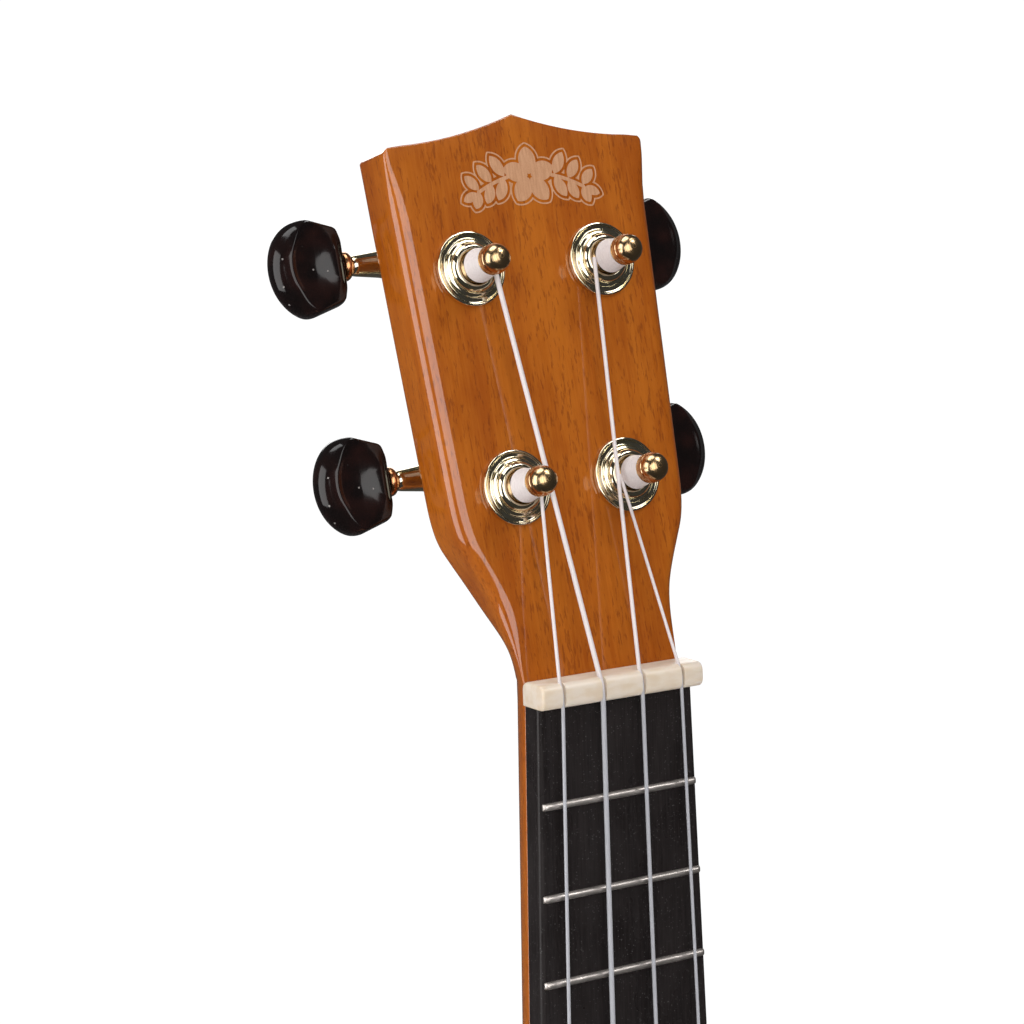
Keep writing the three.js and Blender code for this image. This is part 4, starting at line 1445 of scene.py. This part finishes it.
def inlay_pattern():
    """Lays diamonds evenly round a circle, with a fine ring inside and outside them."""
    tree = Pattern("ring_inlay", [
        ("Count", "Int", 48),
        ("Radius", "Float", 28.5),
        ("Band", "Float", 2.4),
        ("Line", "Float", 0.35),
        ("Thickness", "Float", 0.4),
        ("Finish", "Material", None),
    ])
    radius, band, thickness = tree.given("Radius"), tree.given("Band"), tree.given("Thickness")
    spots = tree.node("GeometryNodeMeshCircle", inputs={"Vertices": tree.given("Count"), "Radius": radius})
    cylinder = tree.node("GeometryNodeMeshCylinder", inputs={
        "Vertices": 4, "Radius": band * 0.46, "Depth": thickness,
    })
    slim = tree.node("GeometryNodeTransform", inputs={"Geometry": cylinder, "Scale": (1.0, 0.62, 1.0)})
    facing = tree.node("FunctionNodeAlignRotationToVector", {"axis": "X"}, {
        "Vector": tree.node("GeometryNodeInputPosition"),
    })
    diamonds = tree.node("GeometryNodeInstanceOnPoints", inputs={
        "Points": spots, "Instance": slim, "Rotation": facing,
    })
    parts = [diamonds]
    profile = tree.node("GeometryNodeCurvePrimitiveQuadrilateral", inputs={
        "Width": tree.given("Line"), "Height": thickness,
    })
    for way in (-0.5, 0.5):
        ring = tree.node("GeometryNodeCurvePrimitiveCircle", inputs={
            "Resolution": 128, "Radius": radius + band * way,
        })
        parts.append(tree.node("GeometryNodeCurveToMesh", inputs={"Curve": ring, "Profile Curve": profile}))
    joined = tree.tree.nodes.new("GeometryNodeJoinGeometry")
    for part in parts:
        tree.connect(joined.inputs[0], part)
    return tree.finish(Value(tree, joined.outputs[0]))


class UkuleleRing(bpy.types.Operator):
    """Inlays the ring round the sound hole"""

    bl_idname = "ukulele.ring"
    bl_label = "Sound hole ring"

    def execute(self, context):
        place = Matrix.Translation((0, BODY_FRONT + 0.15, HOLE_Z)) @ Matrix.Rotation(math.pi / 2, 4, "X")
        mesh = inlay_pattern().grow(
            count=sizes().inlay_count, radius=HOLE_RADIUS + 4.6, band=3.0, line=0.4, thickness=0.4,
            finish=pearl(),
        )
        finished("sound_hole_inlay", mesh, pearl(), place=place)
        band = turned([
            (HOLE_RADIUS + 3.1, BODY_FRONT + 0.3), (HOLE_RADIUS + 3.1, BODY_FRONT - 0.03),
            (HOLE_RADIUS + 6.1, BODY_FRONT - 0.03), (HOLE_RADIUS + 6.1, BODY_FRONT + 0.3),
        ], 128, joined=True)
        bmesh.ops.translate(band, verts=band.verts, vec=(0, 0, HOLE_Z))
        finished("sound_hole_band", band, dark_wood())
        return {"FINISHED"}


class UkuleleInside(bpy.types.Operator):
    """Gives the blocks, linings and braces their bare wood"""

    bl_idname = "ukulele.inside"
    bl_label = "Inside wood"

    def execute(self, context):
        inside = ("lining_front", "lining_back", "neck_block", "tail_block", "upper_brace",
                  "lower_brace", "back_brace_upper", "back_brace_lower", "bridge_plate")
        for node in inside:
            mesh = frame["nodes"][node].data
            mesh.materials.clear()
            mesh.materials.append(raw_wood())
        return {"FINISHED"}


# ---------------------------------------------------------------- bridge, saddle and strings


class UkuleleBridge(bpy.types.Operator):
    """Makes the bridge with its wings, saddle slot and string slots, and the saddle"""

    bl_idname = "ukulele.bridge"
    bl_label = "Bridge and saddle"

    def execute(self, context):
        lowest, highest = low("bridge"), high("bridge")
        half, foot = highest.x, highest.y
        wing = foot - 3.4
        rise = [(half - 1, wing)] + bezier(
            (half - 1, wing), (half - 3.6, wing),
            (half - 5.4, BRIDGE_TOP + 1.8), (half - 6, BRIDGE_TOP), 10,
        )
        side = [(half, foot), (half, wing + 1)] + rise
        outline = side + [(-x, y) for x, y in reversed(side)]
        blank = slab(outline, rounded_edges(lowest.z, highest.z, 0.7), ALONG_Z)
        saddle_low, saddle_high = low("saddle"), high("saddle")
        tools = [block(
            (saddle_low.x - 0.05, BRIDGE_TOP - 2, saddle_low.z - 0.05),
            (saddle_high.x + 0.05, saddle_high.y + 0.05, saddle_high.z + 0.05),
        )]
        for i, name in enumerate(STRINGS):
            x = string_x(i, SADDLE_SPREAD)
            wide = GAUGE[name] / 2 + 0.2
            tools.append(block(
                (x - wide, BRIDGE_TOP - 2, lowest.z - 2), (x + wide, BRIDGE_TOP + 2, SADDLE_Z - 3.5)))
        finished("bridge_piece", carved(blank, "DIFFERENCE", *tools), dark_wood(),
                 nodes=("bridge",), pattern=lambda p: p[:, [2, 1, 0]])
        section = fillet([
            (saddle_high.y, saddle_low.z), (saddle_high.y, saddle_high.z), (saddle_low.y, saddle_high.z),
            (saddle_low.y, saddle_low.z), (saddle_high.y, saddle_low.z),
        ], 1.1, 6)[1:-1]
        section = [(saddle_high.y, saddle_low.z + 0.01)] + section
        bar = slab(section, rounded_edges(saddle_low.x, saddle_high.x, 0.5, 4), ALONG_X)
        finished("saddle_piece", bar, cream_plastic(), nodes=("saddle",))
        return {"FINISHED"}


def string_pattern():
    """Draws a round string along a line, with its bends eased."""
    tree = Pattern("string_along_line", [
        ("Radius", "Float", 0.4),
        ("Bend Radius", "Float", 1.0),
        ("Sides", "Int", 16),
        ("Finish", "Material", None),
    ])
    line = tree.node("GeometryNodeMeshToCurve", inputs={"Mesh": tree.given("Geometry")})
    eased = tree.node("GeometryNodeFilletCurve", {"mode": "POLY"}, {
        "Curve": line, "Count": 5, "Radius": tree.given("Bend Radius"), "Limit Radius": True,
    })
    section = tree.node("GeometryNodeCurvePrimitiveCircle", inputs={
        "Resolution": tree.given("Sides"), "Radius": tree.given("Radius"),
    })
    tube = tree.node("GeometryNodeCurveToMesh", inputs={
        "Curve": eased, "Profile Curve": section, "Fill Caps": True,
    })
    return tree.finish(tube)


def string_stops(i, name):
    nut_x = string_x(i, NUT_SPREAD)
    saddle_x = string_x(i, SADDLE_SPREAD)
    rear = low("bridge").z
    at_nut, at_saddle = STRING_AT_NUT, STRING_AT_SADDLE
    side = tuner_side(name)
    end = tuner_matrix(name) @ Vector((-side * 3.35, -EXIT_HEIGHT[name], 0))
    return [
        (saddle_x, BRIDGE_TOP + 1.1, rear - 1.6), (saddle_x, BRIDGE_TOP + 1.1, SADDLE_Z - 6.4),
        (saddle_x, BRIDGE_TOP + 0.2, SADDLE_Z - 4.9), (saddle_x, at_saddle + 0.15, SADDLE_Z - 0.8),
        (saddle_x, at_saddle, SADDLE_Z + 0.2), (nut_x, at_nut, 0),
        (nut_x, at_nut + 0.05, NUT_THICK * 0.45), (nut_x, at_nut + 0.35, NUT_THICK * 0.75),
        (nut_x, at_nut + 0.95, NUT_THICK), tuple(end),
    ]


def knot_loop(end, size):
    """A trefoil behind the bridge, where a string ends."""
    centre = end + Vector((0, -0.2, -size * 0.8))
    return [
        centre + size * Vector((
            math.sin(t) + 1.6 * math.sin(2 * t),
            math.cos(t) - 1.6 * math.cos(2 * t),
            -1.1 * math.sin(3 * t),
        ))
        for t in (2 * math.pi * k / 48 for k in range(48))
    ]


class UkuleleStrings(bpy.types.Operator):
    """Draws the four strings from the bridge to their posts, and knots them behind the bridge"""

    bl_idname = "ukulele.strings"
    bl_label = "Strings"

    def execute(self, context):
        pattern = string_pattern()
        for i, name in enumerate(STRINGS):
            mesh = pattern.grow(
                route(string_stops(i, name)), radius=GAUGE[name] / 2, bend_radius=0.8, sides=16,
                finish=nylon(),
            )
            finished(f"string_{name}_piece", mesh, nylon(), nodes=(f"string_{name}",))
        shells = []
        for i, name in enumerate(STRINGS):
            loop = knot_loop(Vector(string_stops(i, name)[0]), 0.42 + GAUGE[name] * 0.25)
            mesh = pattern.grow(
                route(loop, closed=True), radius=GAUGE[name] / 2, bend_radius=0.1, sides=12,
                finish=nylon(),
            )
            shell = bmesh.new()
            shell.from_mesh(mesh)
            bpy.data.meshes.remove(mesh)
            shells.append(shell)
        finished("string_knots", together(*shells), nylon())
        return {"FINISHED"}


# ---------------------------------------------------------------- tuners


WINDING_HEIGHT = 3.9
WINDING_FOOT = -3.85
WOUND_RADIUS = 0.80


def winding_pattern():
    """Winds a string round a post, from a wide base to a narrow top."""
    tree = Pattern("string_winding", [
        ("Turns", "Float", 7.0),
        ("Base Radius", "Float", 3.0),
        ("Top Radius", "Float", 2.2),
        ("Height", "Float", WINDING_HEIGHT),
        ("String Radius", "Float", WOUND_RADIUS),
        ("Finish", "Material", None),
    ])
    spiral = tree.node("GeometryNodeCurveSpiral", inputs={
        "Resolution": 40, "Rotations": tree.given("Turns"), "Start Radius": tree.given("Base Radius"),
        "End Radius": tree.given("Top Radius"), "Height": tree.given("Height"),
    })
    section = tree.node("GeometryNodeCurvePrimitiveCircle", inputs={
        "Resolution": 14, "Radius": tree.given("String Radius"),
    })
    coil = tree.node("GeometryNodeCurveToMesh", inputs={
        "Curve": spiral, "Profile Curve": section, "Fill Caps": True,
    })
    return tree.finish(coil)


class UkuleleBushings(bpy.types.Operator):
    """Makes the four flanged bushings, plated and polished"""

    bl_idname = "ukulele.bushings"
    bl_label = "Bushings"

    def execute(self, context):
        bore = 3.32
        section = fillet([
            (bore, 8), (bore, -2.3), (3.55, -2.85), (4.3, -2.95), (4.9, -2.3), (5.05, -1.5),
            (5.7, -1.35), (5.95, -0.85), (6.8, -0.85), (7.0, -1.2), (7.45, -1.1),
            (7.5, -0.05), (4.4, -0.05), (4.4, 8), (bore, 8),
        ], 0.34, 6)
        for name in STRINGS:
            finished(f"bushing_{name}", turned(section, 96, joined=True), gold_plate(),
                     nodes=(f"tuner_{name}_bushing",), place=tuner_matrix(name), sharp=50)
        return {"FINISHED"}


def gear_shape():
    """The helical gear on the post's lower end."""
    face = 3.0
    slope = WORM_LEAD / (2 * math.pi * (WORM_Z - PITCH_RADIUS)) / PITCH_RADIUS
    tooth = ((-0.52, 3.3), (-0.30, 3.9), (-0.15, 4.2), (0.15, 4.2), (0.30, 3.9), (0.52, 3.3))
    rings = []
    for level in np.linspace(-face / 2, face / 2, 5):
        ring = []
        for k in range(GEAR_TEETH):
            for across, radius in tooth:
                angle = k * 2 * math.pi / GEAR_TEETH + across / radius + level * slope
                ring.append((radius * math.sin(angle), WORM_Y + float(level), radius * math.cos(angle)))
        rings.append(ring)
    return loft(rings)


class UkulelePosts(bpy.types.Operator):
    """Makes the four string posts with their gears, and winds the strings on them"""

    bl_idname = "ukulele.posts"
    bl_label = "String posts"

    def execute(self, context):
        given = sizes()
        tip = fillet([
            (0, 22.4), (1.6, 22.4), (1.6, 21.6), (3.2, 21.6), (3.2, -2.2), (2.4, -2.6), (2.25, -5.4),
            (2.35, -7.9), (2.5, -8.3), (2.88, -8.55), (3.0, -9.0), (3.0, -10.4), (2.9, -10.55),
            (2.84, -11.3), (2.5, -12.1), (1.9, -12.7), (1.1, -13.05), (0.5, -13.13), (0, -13.15),
        ], 0.3, 4)
        pattern = winding_pattern()
        standing = Matrix.Translation((0, WINDING_FOOT, 0)) @ Matrix.Rotation(math.pi / 2, 4, "X")
        for name in STRINGS:
            place = tuner_matrix(name)
            shape = together(turned(tip, 72), gear_shape())
            finished(f"string_post_{name}", shape, turned_brass(), body=f"tuner_{name}_post",
                     nodes=(f"tuner_{name}_string_post",), place=place, sharp=40)
            mesh = pattern.grow(
                turns=given.winding_turns, base_radius=given.winding_base / MM - WOUND_RADIUS,
                top_radius=given.winding_top / MM - WOUND_RADIUS, height=WINDING_HEIGHT,
                string_radius=WOUND_RADIUS, finish=nylon(),
            )
            finished(f"winding_{name}", mesh, nylon(), body=f"tuner_{name}_post",
                     place=place @ standing)
        return {"FINISHED"}


def worm_thread(turns=3, steps=72, sides=20):
    """A round thread, wound about the shaft beside the gear."""
    offset, radius = 0.45, 1.9
    rings = []
    for step in range(steps + 1):
        along = -turns / 2 * WORM_LEAD + WORM_LEAD * turns * step / steps
        turn = 2 * math.pi * along / WORM_LEAD
        ring = []
        for k in range(sides):
            angle = 2 * math.pi * k / sides
            y = offset + radius * math.sin(angle)
            z = radius * math.cos(angle)
            ring.append((
                along,
                WORM_Y + y * math.cos(turn) - z * math.sin(turn),
                WORM_Z + y * math.sin(turn) + z * math.cos(turn),
            ))
        rings.append(ring)
    return loft(rings)


class UkuleleShafts(bpy.types.Operator):
    """Makes the four worm shafts with their collars"""

    bl_idname = "ukulele.shafts"
    bl_label = "Worm shafts"

    def execute(self, context):
        profile = fillet([
            (0, -5), (1.25, -5), (1.25, 15.6), (2.5, 15.7), (2.95, 16.2), (2.95, 17.0), (2.55, 17.6),
            (1.25, 17.65), (1.25, 25.7), (0, 25.7),
        ], 0.3, 4)
        for name in STRINGS:
            shape = together(turned_along(profile, tuner_side(name), 48), worm_thread())
            finished(f"worm_shaft_{name}", shape, shaft_brass(), body=f"tuner_{name}_worm",
                     nodes=(f"tuner_{name}_worm_shaft",), place=tuner_matrix(name),
                     sharp=40)
        return {"FINISHED"}


class UkuleleHousings(bpy.types.Operator):
    """Makes the four gear housings with their snouts, and the plates that they stand on"""

    bl_idname = "ukulele.housings"
    bl_label = "Gear housings"

    def execute(self, context):
        snout = fillet([
            (0, 4), (3.1, 4), (3.0, 7.4), (2.7, 9), (2.1, 14.4), (1.85, 15.35), (0, 15.4),
        ], 0.5, 4)
        cup_outline = rounded_box_outline(-6.6, 6.6, -6.4, 9.9, 2.6)
        plate_outline = rounded_box_outline(-6.6, 6.6, -11.6, 15.1, 4)
        for name in STRINGS:
            side = tuner_side(name)
            cup = slab(cup_outline, [(0.0, 13.0)] + rounded_back(24, 1.3))
            step = slab(inset(cup_outline, 2.0), [(0.0, 23.0), (0.0, 24.1), (0.25, 24.4)])
            hollow = block((-5.5, 12, -5.3), (5.5, 22.9, 8.8))
            bore = turned_along(rod(1.35, 3, 16.4), side, 32)
            body = carved(cup, "UNION", turned_along(snout, side), step)
            finished(f"housing_{name}", carved(body, "DIFFERENCE", hollow, bore), gold_plate(),
                     nodes=(f"tuner_{name}_housing",), place=tuner_matrix(name))
            plate = slab(plate_outline, rounded_edges(PLATE_FRONT, PLATE_BACK, 0.3, 4))
            holes = [turned(rod(3.55, 10, 15), 40)]
            for z in SCREW_STATIONS:
                hole = turned(rod(1.1, 10, 15), 24)
                bmesh.ops.translate(hole, verts=hole.verts, vec=(0, 0, z))
                holes.append(hole)
            finished(f"base_plate_{name}", carved(plate, "DIFFERENCE", *holes), gold_plate(),
                     nodes=(f"tuner_{name}_base_plate",), place=tuner_matrix(name))
        return {"FINISHED"}


BUTTON_START = 18.0
BUTTON_HALF_THICK = 4.0
BUTTON_HALF_HEIGHT = 9.8
BUTTON_WIDEST = 7.2
BUTTON_ROUND_END = 7.9
BUTTON_DOME = 2.2
SHAFT_SWELL = 1.3
FACE_DISH = 0.30


def button_outline():
    """The button seen from the front: a short hub edge, spreading sides and a round end."""
    arc = [
        (BUTTON_WIDEST + BUTTON_ROUND_END * math.sin(a), BUTTON_HALF_HEIGHT * math.cos(a))
        for a in np.linspace(0.12, math.pi / 2, 28)
    ]
    hub = [(0, 0), (0, 5), (0.9, 7.8), (BUTTON_WIDEST, BUTTON_HALF_HEIGHT), arc[0]]
    corners = fillet(hub, 0.9, 5)[1:-1]
    upper = corners + arc
    return upper + [(x, -z) for x, z in reversed(upper[:-1])]


def button_shape(side):
    """The button: a bulging rim, a crisp line round each face, and a swelling over the shaft."""
    outline = np.array(button_outline())
    centre = np.array([6.8, 0.0])
    outwards = outline - centre
    reach = np.hypot(*outwards.T)[:, None]
    half = BUTTON_HALF_THICK
    dome = np.array([BUTTON_DOME * smooth(7.0, 13.5, x) for x in outline[:, 0]])[:, None]

    def drawn_in(distance):
        """The outline drawn in by a distance, more so at the domed round end."""
        share = min(distance / rim[-1][0], 1)
        return outline - outwards / reach * (distance + dome * share)

    def face(sign):
        """Rings from near the middle out to the face's edge, shaped by the swelling and a slight dish."""
        line = drawn_in(rim[-1][0] + 0.38)
        for share in (0.02, 0.10, 0.2, 0.3, 0.4, 0.5, 0.6, 0.7, 0.78, 0.86, 0.93, 0.98):
            fade = smooth(1.0, 0.80, share)
            ring = []
            for x, z in centre + (line - centre) * share:
                swell = SHAFT_SWELL * math.exp(-((x / 5.0) ** 2) - (z / 4.0) ** 2)
                dish = FACE_DISH * math.exp(-(((x - 8.5) / 4.5) ** 2) - (z / 6.0) ** 2)
                ring.append((x, sign * (half + (swell - dish) * fade), z))
            yield ring

    spread = np.linspace(-1, 1, 13)
    rim = [(1.2 * (1 - math.sqrt(1 - (0.85 * s) ** 2)), s * (half - 0.3)) for s in spread]
    edge = [(rim[-1][0] + 0.12, half - 0.10), (rim[-1][0] + 0.38, half)]
    profile = [(d, -y) for d, y in reversed(edge)] + rim + edge
    rings = list(face(-1))
    rings += [[(x, level, z) for x, z in drawn_in(inward)] for inward, level in profile]
    rings += list(face(1))[::-1]
    return loft([
        [(side * (BUTTON_START + x), WORM_Y + y, WORM_Z + z) for x, y, z in ring] for ring in rings
    ])


class UkuleleButtons(bpy.types.Operator):
    """Makes the four black tuner buttons"""

    bl_idname = "ukulele.buttons"
    bl_label = "Buttons"

    def execute(self, context):
        for name in STRINGS:
            side = tuner_side(name)
            bore = turned_along(rod(1.3, 15, 25.75), side, 32)
            shape = carved(button_shape(side), "DIFFERENCE", bore)
            finished(f"button_{name}", shape, button_plastic(), body=f"tuner_{name}_worm",
                     nodes=(f"tuner_{name}_button",), place=tuner_matrix(name),
                     sharp=32)
        return {"FINISHED"}


def screw_pattern():
    """Drives a screw at each mark, each turned by chance."""
    tree = Pattern("plate_screws", [
        ("Screw", "Object", None),
        ("Lean", "Float", 0.0),
        ("Seed", "Int", 3),
        ("Finish", "Material", None),
    ])
    blank = tree.node("GeometryNodeObjectInfo", inputs={"Object": tree.given("Screw")}, output="Geometry")
    twist = tree.node("FunctionNodeRandomValue", {"data_type": "FLOAT"}, {
        "Min": 0.0, "Max": math.pi, "Seed": tree.given("Seed"),
    }, output=1)
    standing = tree.node("GeometryNodeInstanceOnPoints", inputs={
        "Points": tree.given("Geometry"),
        "Instance": blank,
        "Rotation": tree.node("ShaderNodeCombineXYZ", inputs={"X": tree.given("Lean")}),
    })
    turned_round = tree.node("GeometryNodeRotateInstances", inputs={
        "Instances": standing,
        "Rotation": tree.node("ShaderNodeCombineXYZ", inputs={"Y": twist}),
        "Local Space": True,
    })
    return tree.finish(turned_round)


def screw_shape():
    """A small round-headed screw with a crossed recess, its head towards +Y."""
    head = fillet([
        (0, 1.15), (0.9, 1.0), (1.6, 0.55), (1.9, 0.05), (1.0, 0), (0.95, -4.5), (0, -6.5),
    ], 0.35, 4)
    cross = [
        block((-0.95, 0.55, -0.17), (0.95, 2, 0.17)),
        block((-0.17, 0.55, -0.95), (0.17, 2, 0.95)),
    ]
    return carved(turned(head, 32), "DIFFERENCE", *cross)


class UkuleleScrews(bpy.types.Operator):
    """Drives the eight small screws that hold the tuner plates"""

    bl_idname = "ukulele.screws"
    bl_label = "Plate screws"

    def execute(self, context):
        spots = [
            tuner_matrix(name) @ Vector((0, PLATE_BACK + 0.02, z))
            for name in STRINGS for z in SCREW_STATIONS
        ]
        screw = holder("screw", screw_shape())
        mesh = screw_pattern().grow(marks(spots), screw=screw, lean=-TILT, seed=3, finish=gold_plate())
        discard(screw)
        finished("plate_screws", mesh, gold_plate())
        return {"FINISHED"}


# ---------------------------------------------------------------- stage


STAGE_LIGHTS = (
    # name, direction from the head, distance, width, height, power, colour
    ("front_softbox", (-0.30, -0.92, 0.26), 1.4, 1.45, 1.0, 12.5, (1.0, 0.99, 0.98)),
    ("left_softbox", (-1.0, 0.02, 0.12), 1.4, 1.55, 1.0, 15.0, (1.0, 0.99, 0.98)),
    ("window_softbox", (0.42, -0.50, 0.72), 1.4, 0.45, 0.45, 5.0, (1.0, 1.0, 1.0)),
    ("top_softbox", (-0.20, 0.05, 1.0), 1.4, 1.0, 0.8, 9.0, (1.0, 1.0, 1.0)),
    ("back_softbox", (0.42, 0.86, 0.28), 1.5, 0.9, 0.8, 6.0, (1.0, 1.0, 1.0)),
)


class UkuleleStage(bpy.types.Operator):
    """Sets the pale floor, the soft lights, the backdrop light and the camera"""

    bl_idname = "ukulele.stage"
    bl_label = "Stage"

    def execute(self, context):
        scene = context.scene
        self.floor()
        self.world(scene)
        aim = Vector((0.0, 0.015, 0.05))
        for name, way, distance, width, height, power, tint in STAGE_LIGHTS:
            data = bpy.data.lights.new(name, "AREA")
            data.shape = "RECTANGLE"
            data.size, data.size_y = width, height
            data.energy = power
            data.color = tint
            light = bpy.data.objects.new(name, data)
            direction = Vector(way).normalized()
            light.location = aim + direction * distance
            light.rotation_euler = (-direction).to_track_quat("-Z", "Z").to_euler()
            scene.collection.objects.link(light)
        self.camera(scene)
        scene.view_settings.view_transform = "Standard"
        return {"FINISHED"}

    def floor(self):
        shape = bmesh.new()
        bmesh.ops.create_circle(shape, cap_ends=True, segments=96, radius=1000)
        mesh = bpy.data.meshes.new("floor")
        shape.to_mesh(mesh)
        shape.free()
        mesh.transform(Matrix.Translation((0, 0, (TAIL_Z - 2) * MM)) @ Matrix.Scale(MM, 4))
        mesh.materials.append(stage_paper())
        floor = bpy.data.objects.new("floor", mesh)
        bpy.context.scene.collection.objects.link(floor)
        floor.visible_glossy = False

    def world(self, scene):
        """A white backdrop for the camera, and a dim room for what the piece reflects."""
        world = bpy.data.worlds.new("studio")
        world.use_nodes = True
        scene.world = world
        tree = Tree(world.node_tree)
        tree.tree.nodes.clear()
        way = tree.node("ShaderNodeTexCoord", output="Generated")
        behind = tree.node("ShaderNodeSeparateXYZ", inputs={0: way}, output="Y")
        room = tree.node("ShaderNodeMapRange", {"interpolation_type": "SMOOTHSTEP"}, {
            "Value": behind, "From Min": -0.3, "From Max": 0.8, "To Min": 0.04, "To Max": 0.07,
        })
        seen = tree.node("ShaderNodeLightPath", output="Is Camera Ray")
        strength = tree.node("ShaderNodeMix", {"data_type": "FLOAT"}, {0: seen, 2: room, 3: 1.05})
        background = tree.node("ShaderNodeBackground", inputs={"Color": (1, 1, 1), "Strength": strength})
        out = tree.tree.nodes.new("ShaderNodeOutputWorld")
        tree.connect(out.inputs[0], background)

    def camera(self, scene):
        data = bpy.data.cameras.new("camera")
        data.sensor_width = 36
        data.lens = 102.92
        data.clip_start, data.clip_end = 0.01, 50
        camera = bpy.data.objects.new("camera", data)
        forward = Vector((0.50802613, 0.84849463, -0.14821037)).normalized()
        up = Vector((0.10728494, 0.10839551, 0.98830175))
        right = forward.cross(up).normalized()
        up = right.cross(forward)
        turn = Matrix((right, up, -forward)).transposed().to_4x4()
        camera.matrix_world = Matrix.Translation((-0.303716, -0.470122, 0.121082)) @ turn
        scene.collection.objects.link(camera)
        scene.camera = camera


# ---------------------------------------------------------------- panel and registration

STEPS = (
    UkuleleStage, UkuleleNeck, UkuleleHeelCap, UkuleleFretboard, UkuleleFrets, UkuleleDots, UkuleleNut,
    UkuleleOrnament, UkuleleBody, UkuleleRing, UkuleleInside, UkuleleBridge, UkuleleStrings,
    UkuleleBushings, UkulelePosts, UkuleleShafts, UkuleleHousings, UkuleleButtons, UkuleleScrews,
)


class UkulelePanel(bpy.types.Panel):
    """Lists the steps that build the ukulele, and its sizes and colours"""

    bl_idname = "VIEW3D_PT_ukulele"
    bl_label = "Ukulele"
    bl_space_type = "VIEW_3D"
    bl_region_type = "UI"
    bl_category = "Ukulele"

    def draw(self, context):
        for group in (context.scene.ukulele_sizes, context.scene.ukulele_finishes):
            box = self.layout.box()
            for key in type(group).__annotations__:
                box.prop(group, key)
        for step in STEPS:
            self.layout.operator(step.bl_idname)


CLASSES = (UkuleleSizes, UkuleleFinishes, *STEPS, UkulelePanel)


def register():
    for item in CLASSES:
        bpy.utils.register_class(item)
    bpy.types.Scene.ukulele_sizes = PointerProperty(type=UkuleleSizes)
    bpy.types.Scene.ukulele_finishes = PointerProperty(type=UkuleleFinishes)


def unregister():
    del bpy.types.Scene.ukulele_finishes
    del bpy.types.Scene.ukulele_sizes
    for item in reversed(CLASSES):
        bpy.utils.unregister_class(item)


def main():
    register()
    for step in STEPS:
        group, action = step.bl_idname.split(".")
        getattr(getattr(bpy.ops, group), action)()


if __name__ == "__main__":
    main()
